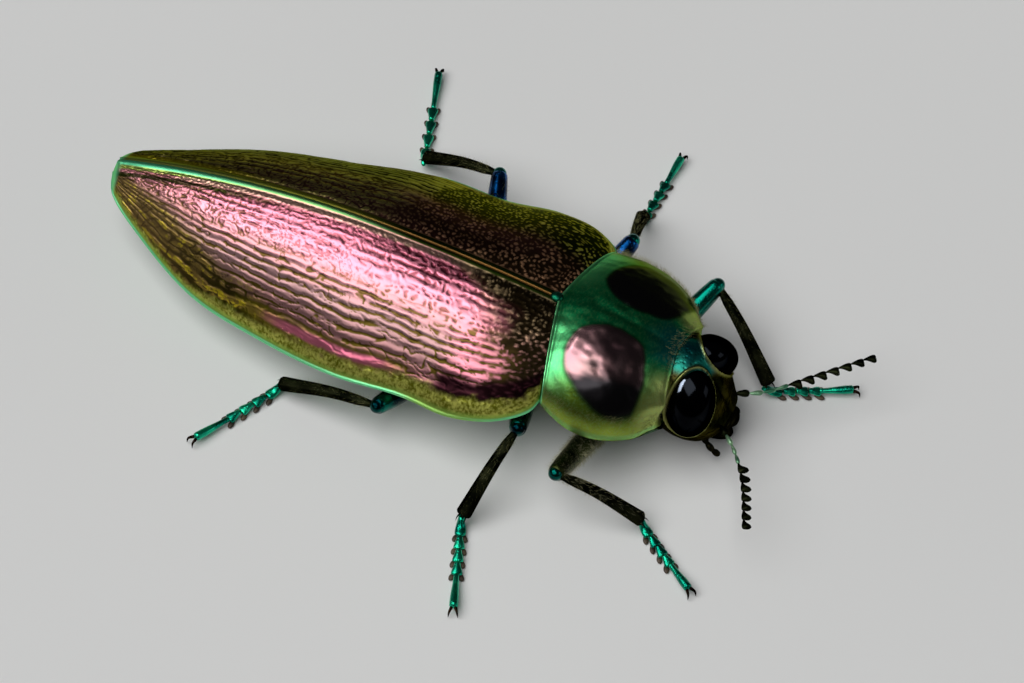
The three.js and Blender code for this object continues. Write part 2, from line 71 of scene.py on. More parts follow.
Point = tuple[float, float, float]
Pair = tuple[np.ndarray, np.ndarray]
Piece = bpy.types.Object
Surface = Callable[[np.ndarray, np.ndarray], np.ndarray]


def rgb(red: int, green: int, blue: int) -> Colour:
    """Linear colour of a display colour given as three numbers up to 255."""
    return tuple((value / 255) ** 2.2 for value in (red, green, blue))


def smooth(value: np.ndarray, low: float, high: float) -> np.ndarray:
    """Eased step of an array, 0 at `low` and 1 at `high`."""
    share = np.clip((value - low) / (high - low), 0.0, 1.0)
    return share * share * (3.0 - 2.0 * share)


def bell(value: np.ndarray, centre: float, width: float) -> np.ndarray:
    """Bell curve of an array, 1 at `centre` and nearly 0 past twice `width` from it."""
    return np.exp(-(((value - centre) / width) ** 2))


def unit(vector: Sequence[float]) -> np.ndarray:
    """A vector scaled to length 1."""
    array = np.asarray(vector, float)
    return array / np.linalg.norm(array)


def rounded(share: np.ndarray, start: float, end: float) -> np.ndarray:
    """Factor on a limb's girth that rounds off its first and last stretches."""
    inside = np.clip(np.minimum(share / start, (1 - share) / end), 0, 1)
    return np.sqrt(inside * (2 - inside))


def bulged(share: np.ndarray, power: float) -> np.ndarray:
    """One bulge along a limb, 0 at both ends and fuller with a higher power."""
    return np.sqrt(np.clip(1 - np.abs(2 * share - 1) ** power, 0, 1))


def squares(ways: np.ndarray, up: Sequence[float] = (0.0, 0.0, 1.0)) -> Pair:
    """Level and upright directions square to others.

    Args:
        ways: Directions of length 1.
        up: Direction that the upright ones lean to.

    Returns:
        The level ones and the upright ones.
    """
    across = np.cross(ways, np.asarray(up, float))
    across /= np.linalg.norm(across, axis=-1, keepdims=True)
    return across, np.cross(across, ways)


def border_width(ease: Callable[[float, float], Wire | np.ndarray]) -> Wire | np.ndarray:
    """Width of a wing case's border, from an eased step of the distance from the tip."""
    return 0.9 + 0.9 * ease(10.0, 20.0) + 0.2 * ease(30.0, 36.0)


def round_trip(around: np.ndarray) -> Pair:
    """Follows a plate's ring over the top from right to left and back below.

    Args:
        around: Shares around the ring.

    Returns:
        Whether each place is on top, and its share across, -1 at the right and 1 at the left.
    """
    turn = 2.0 * around
    on_top = turn <= 1.0
    return on_top, np.where(on_top, 2 * turn - 1, 3 - 2 * turn)


class Side(Enum):
    """Side of the body, with the sign of its y."""

    LEFT = 1
    RIGHT = -1

    @property
    def word(self) -> str:
        """Name of the side in lower case."""
        return self.name.lower()


class Path:
    """Smooth centripetal curve through points."""

    def __init__(self, points: Sequence[Sequence[float]]) -> None:
        """Keeps the points with one extra beyond each end.

        Args:
            points: Places the curve passes through.
        """
        inner = np.asarray(points, float)
        self.knots = np.vstack([2 * inner[0] - inner[1], inner, 2 * inner[-1] - inner[-2]])

    def at(self, share: np.ndarray) -> np.ndarray:
        """Points at shares of the knot count, 0 at the start and 1 at the end.

        Args:
            share: Numbers from 0 to 1, in any array shape.

        Returns:
            The points, with one more axis than `share`.
        """
        share = np.asarray(share, float)
        spans = len(self.knots) - 3
        place = np.clip(share, 0.0, 1.0) * spans
        index = np.minimum(place.astype(int), spans - 1)
        weight = (place - index)[..., None]
        p0, p1, p2, p3 = (self.knots[index + step] for step in range(4))

        def gap(a: np.ndarray, b: np.ndarray) -> np.ndarray:
            """Root of the distance between two knots."""
            return np.sqrt(np.linalg.norm(b - a, axis=-1, keepdims=True))

        d0, d1, d2 = gap(p0, p1), gap(p1, p2), gap(p2, p3)
        start = ((p1 - p0) / d0 - (p2 - p0) / (d0 + d1) + (p2 - p1) / d1) * d1
        end = ((p2 - p1) / d1 - (p3 - p1) / (d1 + d2) + (p3 - p2) / d2) * d1
        cubic = 2 * p1 - 2 * p2 + start + end
        square = 3 * (p2 - p1) - 2 * start - end
        return p1 + weight * (start + weight * (square + weight * cubic))

    def even(self, share: np.ndarray) -> np.ndarray:
        """Points at shares of the length.

        Args:
            share: Numbers from 0 to 1.

        Returns:
            The points.
        """
        dense = np.linspace(0.0, 1.0, 400)
        line = self.at(dense)
        length = np.concatenate([[0.0], np.cumsum(np.linalg.norm(np.diff(line, axis=0), axis=1))])
        return self.at(np.interp(share, length / length[-1], dense))


class Grain:
    """Repeatable smooth and cellular noise on a wrapped lattice."""

    SIZE = 128

    def __init__(self, seed: int) -> None:
        """Draws the lattice.

        Args:
            seed: Number that fixes the pattern.
        """
        draw = np.random.default_rng(seed)
        turn = draw.uniform(0.0, 2 * np.pi, (self.SIZE, self.SIZE))
        self.slope = np.stack([np.cos(turn), np.sin(turn)], -1)
        self.spot = draw.uniform(0.1, 0.9, (self.SIZE, self.SIZE, 2))

    def at(self, x: np.ndarray, y: np.ndarray) -> np.ndarray:
        """Smooth noise, about -1 to 1.

        Args:
            x: First coordinate in lattice steps.
            y: Second coordinate in lattice steps.

        Returns:
            The noise at each place.
        """
        column, row = np.floor(x).astype(int), np.floor(y).astype(int)
        fx, fy = x - column, y - row
        ease_x = fx**3 * (fx * (6 * fx - 15) + 10)
        ease_y = fy**3 * (fy * (6 * fy - 15) + 10)
        total = np.zeros_like(x)
        for dx in (0, 1):
            for dy in (0, 1):
                slope = self.slope[(column + dx) % self.SIZE, (row + dy) % self.SIZE]
                weight = (ease_x if dx else 1 - ease_x) * (ease_y if dy else 1 - ease_y)
                total += weight * (slope[..., 0] * (fx - dx) + slope[..., 1] * (fy - dy))
        return total * 1.5

    def cells(self, x: np.ndarray, y: np.ndarray) -> np.ndarray:
        """Distance to the nearest of the scattered points, one to a lattice step.

        Args:
            x: First coordinate in lattice steps.
            y: Second coordinate in lattice steps.

        Returns:
            Distances in lattice steps.
        """
        column, row = np.floor(x).astype(int), np.floor(y).astype(int)
        nearest = np.full_like(x, 9.0)
        for dx in (-1, 0, 1):
            for dy in (-1, 0, 1):
                spot = self.spot[(column + dx) % self.SIZE, (row + dy) % self.SIZE]
                far_x, far_y = column + dx + spot[..., 0] - x, row + dy + spot[..., 1] - y
                nearest = np.minimum(nearest, np.hypot(far_x, far_y))
        return nearest


# ---- modelling bench
@dataclass
class Bench:
    """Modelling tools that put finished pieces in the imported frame.

    Attributes:
        offset: Metres from the beetle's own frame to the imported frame.
        patterns: Shapes modelled once at the frame's origin, from which copies are made.
    """

    offset: Vector
    patterns: dict[str, Piece] = field(default_factory=dict)

    @classmethod
    def from_frame(cls) -> Bench:
        """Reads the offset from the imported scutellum, whose centre is known in the beetle's frame."""
        low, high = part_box("scutellum")
        return cls((low + high) / 2 - Vector(Scutellum.CENTRE) * MM)

    @staticmethod
    def corners(piece: Piece) -> np.ndarray:
        """Reads a piece's points.

        Args:
            piece: Any mesh.

        Returns:
            A row of three numbers for each point.
        """
        flat = np.empty(len(piece.data.vertices) * 3)
        piece.data.vertices.foreach_get("co", flat)
        return flat.reshape(-1, 3)

    def settle(self, piece: Piece, points: np.ndarray) -> None:
        """Moves a piece's points to places in millimetres."""
        piece.data.vertices.foreach_set("co", self.to_frame(points).ravel())

    @staticmethod
    def clear() -> None:
        """Leaves edit mode and deselects everything."""
        if bpy.context.object and bpy.context.object.mode != "OBJECT":
            bpy.ops.object.mode_set(mode="OBJECT")
        bpy.ops.object.select_all(action="DESELECT")

    def to_frame(self, points: np.ndarray) -> np.ndarray:
        """Millimetres in the beetle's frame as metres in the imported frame."""
        return points * MM + np.array(self.offset)

    def loft(
        self,
        name: str,
        columns: int,
        rows: int,
        surface: Surface,
        marks: dict[str, np.ndarray] | None = None,
        crease: float = 50.0,
    ) -> Piece:
        """Lays a grid primitive on a surface, welds its seam and closes its ends.

        Args:
            name: Piece's name.
            columns: Steps around.
            rows: Steps along.
            surface: Gives points in millimetres for shares around and along.
            marks: Filled by the surface with numbers per point, kept as attributes.
            crease: Angle in degrees past which an edge stays sharp.

        Returns:
            The finished object.
        """
        self.clear()
        bpy.ops.mesh.primitive_grid_add(x_subdivisions=columns, y_subdivisions=rows, size=2.0)
        piece = bpy.context.object
        piece.name = piece.data.name = name
        grid = (self.corners(piece).reshape(rows + 1, columns + 1, 3) + 1.0) / 2.0
        self.settle(piece, surface(grid[..., 0], grid[..., 1]))
        for mark, values in (marks or {}).items():
            layer = piece.data.attributes.new(mark, "FLOAT", "POINT")
            layer.data.foreach_set("value", np.ascontiguousarray(values, float).ravel())
        self.close(piece)
        self.soften(piece, crease)
        return piece

    def close(self, piece: Piece) -> None:
        """Welds touching points, fills open ends and turns every face outwards.

        Args:
            piece: The mesh to close.
        """
        bpy.context.view_layer.objects.active = piece
        bpy.ops.object.mode_set(mode="EDIT")
        bpy.ops.mesh.select_all(action="SELECT")
        bpy.ops.mesh.remove_doubles(threshold=WELD * MM)
        bpy.ops.mesh.fill_holes(sides=0)
        bpy.ops.mesh.select_all(action="SELECT")
        bpy.ops.mesh.normals_make_consistent(inside=False)
        bpy.ops.object.mode_set(mode="OBJECT")

    @staticmethod
    def soften(piece: Piece, crease: float) -> None:
        """Shades a piece smooth.

        Args:
            piece: The mesh to shade.
            crease: Angle in degrees past which an edge stays sharp.
        """
        bpy.ops.object.select_all(action="DESELECT")
        piece.select_set(True)
        bpy.context.view_layer.objects.active = piece
        bpy.ops.object.shade_smooth_by_angle(angle=math.radians(crease))

    def ball(
        self,
        name: str,
        centre: Sequence[float],
        radii: Sequence[float],
        axes: Sequence[Sequence[float]] | None = None,
        segments: int = 32,
        rings: int = 20,
        power: float = 1.0,
    ) -> Piece:
        """Makes an egg or lens from a sphere primitive.

        Args:
            name: Piece's name.
            centre: Middle in millimetres.
            radii: Half sizes in millimetres along the axes.
            axes: Three directions, or None for the frame's own.
            segments: Sides around.
            rings: Rings from pole to pole.
            power: Below 1 squares the form off, above 1 pinches it.

        Returns:
            The finished object.
        """
        self.clear()
        bpy.ops.mesh.primitive_uv_sphere_add(segments=segments, ring_count=rings, radius=1.0)
        piece = bpy.context.object
        piece.name = piece.data.name = name
        form = self.corners(piece)
        squared = np.sign(form) * np.abs(form) ** power * np.asarray(radii)
        basis = np.eye(3) if axes is None else np.asarray([unit(axis) for axis in axes])
        self.settle(piece, squared @ basis + np.asarray(centre))
        self.close(piece)
        self.soften(piece, 60.0)
        return piece

    def tube(
        self,
        name: str,
        path: Path,
        steps: int,
        sides: int,
        section: Callable[[np.ndarray], Pair],
        up: Sequence[float] = (0.0, 0.0, 1.0),
        lobes: Callable[[np.ndarray, np.ndarray], np.ndarray] | None = None,
    ) -> Piece:
        """Makes a limb along a path, from rings that close to a point where a section is 0.

        Args:
            name: Piece's name.
            path: Middle line in millimetres.
            steps: Rings along.
            sides: Sides around.
            section: Half width and half height for shares along.
            up: Direction of the sections' height.
            lobes: Factor on the radius for angles and shares along.

        Returns:
            The finished object.
        """

        def surface(around: np.ndarray, along: np.ndarray) -> np.ndarray:
            """Lays rings across the path.

            Args:
                around: Shares around.
                along: Shares along.

            Returns:
                The points.
            """
            share = along[:, 0]
            middle = path.even(share)
            tangent = np.gradient(path.even(np.clip(share, 0.0, 1.0)), axis=0)
            tangent /= np.linalg.norm(tangent, axis=1, keepdims=True)
            across, over = squares(tangent, up)
            wide, high = section(share)
            angle = 2 * np.pi * around
            factor = lobes(angle, along) if lobes else np.ones_like(angle)
            return (
                middle[:, None, :]
                + (factor * np.cos(angle) * wide[:, None])[..., None] * across[:, None, :]
                + (factor * np.sin(angle) * high[:, None])[..., None] * over[:, None, :]
            )

        return self.loft(name, sides, steps, surface)

    def copy(
        self,
        name: str,
        pattern: str,
        make: Callable[[], Piece],
        centre: Sequence[float],
        axes: Sequence[Sequence[float]] | None = None,
    ) -> Piece:
        """Puts a copy of a pattern, with a mesh of its own, at a place.

        Args:
            name: Copy's name.
            pattern: Name that the pattern is kept under.
            make: Models the pattern at the origin, called only for the first copy.
            centre: Place of the pattern's origin in millimetres.
            axes: Directions of its x, y and z with their stretch, or None for the frame's own.

        Returns:
            The copy.
        """
        if pattern not in self.patterns:
            self.patterns[pattern] = make()
            bpy.context.scene.collection.objects.unlink(self.patterns[pattern])
        mesh = self.patterns[pattern].data.copy()
        basis = Matrix(np.eye(3) if axes is None else np.asarray(axes)).transposed()
        place = Matrix.Translation(self.offset + Vector(centre) * MM)
        mesh.transform(place @ basis.to_4x4() @ Matrix.Translation(-self.offset))
        if basis.determinant() < 0:
            mesh.flip_normals()
        mesh.name = name
        piece = bpy.data.objects.new(name, mesh)
        bpy.context.scene.collection.objects.link(piece)
        return piece

    def put_away(self) -> None:
        """Removes the patterns once every copy is made."""
        for pattern in self.patterns.values():
            bpy.data.objects.remove(pattern)
        self.patterns.clear()

    def join(self, name: str, parts: Sequence[Piece]) -> Piece:
        """Joins pieces into one object.

        Args:
            name: Name of the joined piece.
            parts: The pieces, the first of which takes in the rest.

        Returns:
            The joined object.
        """
        self.clear()
        for part in parts:
            part.select_set(True)
        bpy.context.view_layer.objects.active = parts[0]
        bpy.ops.object.join()
        whole = bpy.context.object
        whole.name = whole.data.name = name
        return whole

    def hairs(
        self, name: str, roots: np.ndarray, ways: np.ndarray, lengths: np.ndarray, thickness: float
    ) -> Piece:
        """Makes many bent hairs from one cone, each a thin closed spike.

        Args:
            name: Piece's name.
            roots: Root of each hair in millimetres.
            ways: Direction of each hair.
            lengths: Length of each hair in millimetres.
            thickness: Radius at the root in millimetres.

        Returns:
            The finished object.
        """
        self.clear()
        bpy.ops.mesh.primitive_cone_add(vertices=3, radius1=1.0, radius2=0.0, depth=1.0)
        cone = bpy.context.object
        pattern = np.array([vertex.co[:] for vertex in cone.data.vertices]) + [0.0, 0.0, 0.5]
        faces = np.array(
            [[*poly.vertices] for poly in cone.data.polygons if len(poly.vertices) == 3]
        )
        ways = ways / np.linalg.norm(ways, axis=1, keepdims=True)
        helper = np.where(np.abs(ways[:, 2:3]) > 0.9, [[1.0, 0.0, 0.0]], [[0.0, 0.0, 1.0]])
        across = np.cross(ways, helper)
        across /= np.linalg.norm(across, axis=1, keepdims=True)
        over = np.cross(ways, across)
        points = (
            roots[:, None, :]
            + pattern[None, :, 0:1] * across[:, None, :] * thickness
            + pattern[None, :, 1:2] * over[:, None, :] * thickness
            + pattern[None, :, 2:3] * ways[:, None, :] * lengths[:, None, None]
        )
        count, size = len(roots), len(pattern)
        shifts = (np.arange(count) * size)[:, None, None]
        mesh = bpy.data.meshes.new(name)
        mesh.from_pydata(
            self.to_frame(points.reshape(-1, 3)).tolist(),
            [],
            (faces[None] + shifts).reshape(-1, 3).tolist(),
        )
        # each hair bakes to a small patch at its root's place
        bake = mesh.uv_layers.new(name="OFBake")
        span = np.ptp(roots, axis=0) + 1e-6
        home = ((roots - roots.min(axis=0)) / span)[:, :2] * 0.99
        spread = pattern[:, :2] * 0.0015 + 0.002
        corner = np.array([loop.vertex_index for loop in mesh.loops])
        bake.data.foreach_set("uv", (home[corner // size] + spread[corner % size]).ravel())
        hair = bpy.data.objects.new(name, mesh)
        bpy.context.scene.collection.objects.link(hair)
        bpy.data.objects.remove(cone)
        return hair


# ---- shader bench
class Wire:
    """Output of a node that takes part in arithmetic."""

    def __init__(self, paint: Paint, socket: bpy.types.NodeSocket) -> None:
        """Wraps a socket.

        Args:
            paint: Material the socket belongs to.
            socket: The output.
        """
        self.paint = paint
        self.socket = socket

    def _math(self, operation: str, *values: Wire | float) -> Wire:
        """Adds a Math node over the values."""
        node = self.paint.node("ShaderNodeMath", {"operation": operation}, dict(enumerate(values)))
        return Wire(self.paint, node.outputs[0])

    def __add__(self, other: Wire | float) -> Wire:
        """Sum."""
        return self._math("ADD", self, other)

    def __radd__(self, other: float) -> Wire:
        """Sum with a number in front."""
        return self._math("ADD", other, self)

    def __sub__(self, other: Wire | float) -> Wire:
        """Difference."""
        return self._math("SUBTRACT", self, other)

    def __rsub__(self, other: float) -> Wire:
        """Difference from a number."""
        return self._math("SUBTRACT", other, self)

    def __mul__(self, other: Wire | float) -> Wire:
        """Product."""
        return self._math("MULTIPLY", self, other)

    def __rmul__(self, other: float) -> Wire:
        """Product with a number in front."""
        return self._math("MULTIPLY", other, self)

    def ease(self, low: float, high: float) -> Wire:
        """Eased step from 0 at `low` to 1 at `high`, which may be the smaller.

        Args:
            low: Value that gives 0.
            high: Value that gives 1.

        Returns:
            The eased value.
        """
        flip = high < low
        settings = {"interpolation_type": "SMOOTHSTEP"}
        limits = {1: min(low, high), 2: max(low, high), 3: 1.0 * flip, 4: 1.0 * (not flip)}
        node = self.paint.node("ShaderNodeMapRange", settings, {0: self, **limits})
        return Wire(self.paint, node.outputs[0])

    def near(self, centre: float, width: float) -> Wire:
        """1 at a value, falling to 0 at `width` on either side of it."""
        return self._math("ABSOLUTE", self - centre).ease(width, width * 0.35)


class Paint:
    """One material and the nodes in it."""

    def __init__(self, name: str) -> None:
        """Starts an empty material.

        Args:
            name: Material's name.
        """
        self.material = bpy.data.materials.new(name)
        self.material.use_nodes = True
        self.tree = self.material.node_tree
        self.tree.nodes.clear()

    def node(
        self,
        kind: str,
        settings: dict[str, object] | None = None,
        inputs: dict[int | str, object] | None = None,
    ) -> bpy.types.Node:
        """Adds a node.

        Args:
            kind: Blender's type name of the node.
            settings: Its properties; `stops` lists a ramp's places and colours.
            inputs: Values or wires of its sockets, by name or number.

        Returns:
            The new node.
        """
        made = self.tree.nodes.new(kind)
        for key, value in (settings or {}).items():
            if key == "stops":
                self._set_stops(made.color_ramp, value)
            else:
                setattr(made, key, value)
        for key, value in (inputs or {}).items():
            if isinstance(value, Wire):
                self.tree.links.new(value.socket, made.inputs[key])
            elif isinstance(value, tuple) and made.inputs[key].type == "RGBA":
                made.inputs[key].default_value = (*value, 1.0)
            else:
                made.inputs[key].default_value = value
        return made

    @staticmethod
    def _set_stops(ramp: bpy.types.ColorRamp, stops: Sequence[tuple[float, Colour]]) -> None:
        """Gives a ramp its stops.

        Args:
            ramp: The ramp.
            stops: Places from 0 to 1, in order, with their colours.
        """
        while len(ramp.elements) < len(stops):
            ramp.elements.new(1.0)
        for element, (place, colour) in zip(ramp.elements, stops, strict=True):
            element.position = place
            element.color = (*colour, 1.0)

    def mark(self, name: str) -> Wire:
        """Number stored on the mesh under a name."""
        made = self.node("ShaderNodeAttribute", {"attribute_name": name})
        return Wire(self, made.outputs["Fac"])

    def place(self, stretch: Sequence[float] = (1.0, 1.0, 1.0)) -> Wire:
        """Reads object coordinates.

        Args:
            stretch: Stretch along each axis.

        Returns:
            The coordinates.
        """
        coordinates = self.node("ShaderNodeTexCoord")
        mapping = self.node(
            "ShaderNodeMapping",
            {"vector_type": "POINT"},
            {"Vector": Wire(self, coordinates.outputs["Object"]), "Scale": Vector(stretch)},
        )
        return Wire(self, mapping.outputs[0])

    def noise(
        self, scale: float, detail: float = 2.0, stretch: Sequence[float] = (1.0, 1.0, 1.0)
    ) -> Wire:
        """Soft noise around 0.5.

        Args:
            scale: Features to a metre.
            detail: Finer layers.
            stretch: Stretch of the coordinates along each axis.

        Returns:
            The noise.
        """
        inputs = {"Vector": self.place(stretch), "Scale": scale, "Detail": detail}
        return Wire(self, self.node("ShaderNodeTexNoise", None, inputs).outputs["Fac"])

    def cells(self, scale: float) -> Wire:
        """Distance to the nearest of scattered points, for pits and facets."""
        inputs = {"Vector": self.place(), "Scale": scale}
        return Wire(self, self.node("ShaderNodeTexVoronoi", None, inputs).outputs["Distance"])

    def ramp(self, factor: Wire, stops: Sequence[tuple[float, Colour]]) -> Wire:
        """Colour along a ramp."""
        made = self.node("ShaderNodeValToRGB", {"stops": stops}, {"Fac": factor})
        return Wire(self, made.outputs["Color"])

    def mix(self, factor: Wire | float, low: Wire | Colour, high: Wire | Colour) -> Wire:
        """Colour between two colours."""
        made = self.node("ShaderNodeMix", {"data_type": "RGBA"}, {0: factor, 6: low, 7: high})
        return Wire(self, made.outputs[2])

    def bump(self, height: Wire, distance: float, strength: float = 1.0) -> Wire:
        """Normal of a surface with small relief.

        Args:
            height: Relief from 0 to 1.
            distance: Depth of the relief in millimetres.
            strength: Share of the effect.

        Returns:
            The normal.
        """
        inputs = {"Height": height, "Distance": distance * MM, "Strength": strength}
        return Wire(self, self.node("ShaderNodeBump", None, inputs).outputs[0])

    def finish(self, **inputs: object) -> bpy.types.Material:
        """Adds the surface shader and the output.

        Args:
            **inputs: Principled sockets, with _ for a space.

        Returns:
            The finished material.
        """
        sockets = {key.replace("_", " "): value for key, value in inputs.items()}
        shader = self.node("ShaderNodeBsdfPrincipled", None, sockets)
        output = self.node("ShaderNodeOutputMaterial")
        self.tree.links.new(shader.outputs[0], output.inputs[0])
        return self.material


@dataclass(frozen=True)
class Finish:
    """A finish that pieces of one kind share.

    Attributes:
        name: Material's name.
        slot: Record's material slot; not used.
    """

    name: str
    slot: str

    def material(self) -> bpy.types.Material:
        """Makes the material, or finds it if it is made already."""
        return bpy.data.materials.get(self.name) or self.mixed()

    def mixed(self) -> bpy.types.Material:
        """Builds the nodes."""
        raise NotImplementedError

    def dress(self, piece: Piece, *nodes: str) -> Piece:
        """Puts the finish on a piece and ties the piece to the frame.

        Args:
            piece: The finished mesh.
            *nodes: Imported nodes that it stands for.

        Returns:
            The piece.
        """
        piece.data.materials.clear()
        piece.data.materials.append(self.material())
        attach(piece, BODY)
        if nodes:
            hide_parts(*nodes)
        LOG.info("%s: %d faces", piece.name, len(piece.data.polygons))
        return piece


@dataclass(frozen=True)
class WingCaseFinish(Finish):
    """Pink and gold iridescent shell with a yellow-green border and mint rims, its crests painted darker
    outwards as shade.

    Attributes:
        dusk: 0 for the lit shell and 1 for a copy painted darker olive and bronze as shade, with painted
            glints on its front crests.
        stripe: Colour of the stripe beside the seam.
        stripe_place: Distance of the stripe from the seam in millimetres, and its half width.
        stripe_rear: Millimetres from the tip at which it starts and at which it is full.
        stripe_front: Millimetres from the tip at which it ends and at which it starts to fade.
    """

    BASE_SWEEP = 5.0  # millimetres that the base's edge moves forward away from the seam

    dusk: float = 0.0
    stripe: Colour = rgb(236, 196, 166)
    stripe_place: tuple[float, float] = (0.85, 0.5)
    stripe_rear: tuple[float, float] = (5.0, 9.0)
    stripe_front: tuple[float, float] = (38.0, 28.0)

    def mixed(self) -> bpy.types.Material:
        """Colours the field by its place on the shell and the height of its relief.

        Returns:
            The material.
        """
        paint = Paint(self.name)
        tip, across = paint.mark("from_tip"), paint.mark("across")
        seam, edge, relief = paint.mark("from_seam"), paint.mark("from_edge"), paint.mark("relief")
        drift = paint.noise(260.0, 2.0) - 0.5
        speck = paint.noise(1500.0, 2.0)
        place = across + 0.10 * drift
        # painted shade: the crests darken towards the outer edge, where the light falls off; near the
        # front shoulder they stay pink
        crest = paint.ramp(
            place,
            [
                (0.00, rgb(232, 146, 158)), (0.14, rgb(230, 130, 152)),
                (0.36, rgb(232, 146, 166)), (0.48, rgb(216, 148, 154)),
                (0.62, rgb(172, 134, 134)), (0.80, rgb(150, 108, 108)),
                (0.90, rgb(150, 88, 100)),
            ],
        )
        shoulder = tip.ease(35.5, 39.0) * place.ease(0.86, 0.80)
        crest = paint.mix(shoulder, crest, rgb(232, 142, 158))
        groove = paint.ramp(
            place,
            [
                (0.00, rgb(158, 84, 96)), (0.38, rgb(186, 108, 118)),
                (0.50, rgb(118, 92, 54)), (0.70, rgb(92, 78, 34)),
                (0.88, rgb(64, 54, 20)),
            ],
        )
        groove = paint.mix((tip + 10.0 * drift).ease(20.0, 9.0) * 0.8, groove, rgb(92, 72, 36))
        dashed = (tip + 8.0 * drift).ease(23.0, 33.0) * (across + 0.2 * drift).ease(0.36, 0.2)
        groove = paint.mix(dashed, groove, rgb(92, 42, 52))
        field = paint.mix((relief - 0.2 * dashed).ease(0.25, 0.62), groove, crest)
        # the outer rear quarter turns olive brown, flecked with gold on its crests
        outer = (across - 0.022 * tip + 0.16 * drift).ease(0.34, 0.50)
        olive = paint.mix(relief.ease(0.4, 0.9), rgb(42, 40, 14), rgb(128, 108, 52))
        gold = paint.mix((speck + 0.5 * relief).ease(0.92, 1.08), olive, rgb(190, 170, 40))
        field = paint.mix(outer * 0.95, field, gold)
        field = paint.mix((tip + 6.0 * drift).ease(15.0, 5.0) * 0.35, field, rgb(140, 112, 78))
        # the base is near black with bronze grains
        sweep = self.BASE_SWEEP * across.ease(0.04, 0.26) + across.near(0.72, 0.22)
        base = (tip + 5.0 * drift - sweep).ease(32.6, 36.4)
        bronze = paint.mix(across.ease(0.3, 0.6), rgb(166, 142, 106), rgb(176, 130, 118))
        bronze = paint.mix(across.ease(0.5, 0.75) * 0.7, bronze, rgb(70, 48, 46))
        sparse = (relief + 1.2 * (speck - 0.5) + 1.2 * drift).ease(0.24, 0.9)
        grain = paint.mix(sparse, rgb(40, 33, 22), bronze)
        field = paint.mix(base, field, grain)
        corner = (across + 0.16 * drift).ease(0.755, 0.83) * (tip + 4.0 * drift).ease(34.8, 37.2)
        field = paint.mix(corner, field, paint.mix(relief, rgb(14, 9, 10), rgb(58, 32, 38)))
        # one smooth magenta rib runs inside the border between yellow-green stripes
        middle = tip.ease(15.0, 20.0) * tip.ease(35.5, 31.0)
        stripes = (across + 0.03 * drift).near(OUTER_RIB, 0.07) * middle
        field = paint.mix(stripes * 0.8, field, paint.mix(speck, rgb(60, 52, 10), rgb(150, 136, 44)))
        magenta = (across + 0.03 * drift).near(OUTER_RIB, 0.036)
        magenta = magenta * tip.ease(18.0, 22.0) * tip.ease(34.0, 30.0)
        field = paint.mix(magenta * 0.85, field, rgb(200, 104, 132))
        # the border is dusty yellow-green, fraying inward
        width = border_width(tip.ease)
        fray = paint.noise(900.0, 3.0) - 0.5
        border = (edge + 1.0 * drift + 1.6 * fray - width).ease(0.5, -0.4)
        dust = paint.noise(3600.0, 3.0, (1.0, 0.4, 1.0))
        lime = paint.mix((dust + 0.5 * fray).ease(0.3, 0.7), rgb(108, 110, 32), rgb(204, 204, 100))
        lime = paint.mix(edge.ease(1.0, 0.3), lime, rgb(150, 188, 84))
        field = paint.mix(border, field, lime)
        # painted shade: the shaded copy is dark olive, with painted glints on the front crests and
        # yellow-green flecks near the shoulder
        shaded_shell = paint.mix(relief.ease(0.3, 0.85), rgb(22, 30, 8), rgb(122, 132, 50))
        glint = paint.mix(relief.ease(0.2, 0.7), rgb(44, 32, 22), rgb(190, 142, 108))
        fore = (tip + 8.0 * drift).ease(24.0, 32.0)
        shaded_shell = paint.mix(fore * across.ease(0.55, 0.35), shaded_shell, glint)
        flecks = fore * (across + 0.3 * drift).near(0.78, 0.4) * relief.ease(0.3, 0.6)
        shaded_shell = paint.mix(flecks * 0.8, shaded_shell, rgb(206, 204, 84))
        field = paint.mix(self.dusk * (1.0 - border), field, shaded_shell)
        # mint rims, and the seam's band, stripe and line
        mint = edge.ease(0.46, 0.26) * (1.0 - 0.85 * tip.near(37.5, 5.0))
        field = paint.mix(mint, field, rgb(140, 246, 176))
        stripe = seam.near(*self.stripe_place) * tip.ease(*self.stripe_rear) * tip.ease(*self.stripe_front)
        field = paint.mix(stripe * 0.75, field, self.stripe)
        line = seam.near(1.45, 0.3) * tip.ease(24.0, 12.0)
        # on the shaded copy the dark line fades and the seam's band is painted darker and narrower, as
        # shade
        field = paint.mix(line * (0.9 - self.dusk), field, rgb(38, 52, 16))
        rear = paint.mix(tip.ease(4.0, 18.0), rgb(110, 226, 170), rgb(110, 170, 104))
        rear = paint.mix(seam.ease(0.42, 0.62), rear, rgb(176, 196, 96))
        rear = paint.mix(self.dusk, rear, rgb(134, 126, 34))
        front = paint.mix(seam.ease(0.05, 0.15), rgb(196, 142, 80), rgb(34, 46, 16))
        band = paint.mix(tip.ease(20.0, 30.0), rear, front)
        wide = (seam - 0.4 * tip.ease(16.0, 4.0) * (1.0 - 0.8 * self.dusk)).ease(0.6, 0.42)
        field = paint.mix(wide, field, band)
        field = paint.mix((tip + 1.5 * drift).ease(0.8, 0.1) * 0.9, field, rgb(130, 240, 170))
        rough = 0.42 - 0.10 * relief + 0.1 * base + 0.06 * across.ease(0.4, 0.55)
        return paint.finish(
            Base_Color=field,
            Metallic=1.0,
            Roughness=rough,
            Normal=paint.bump(speck, 0.03, 0.5),
            Specular_Tint=(0.55, 0.6, 0.3),
        )


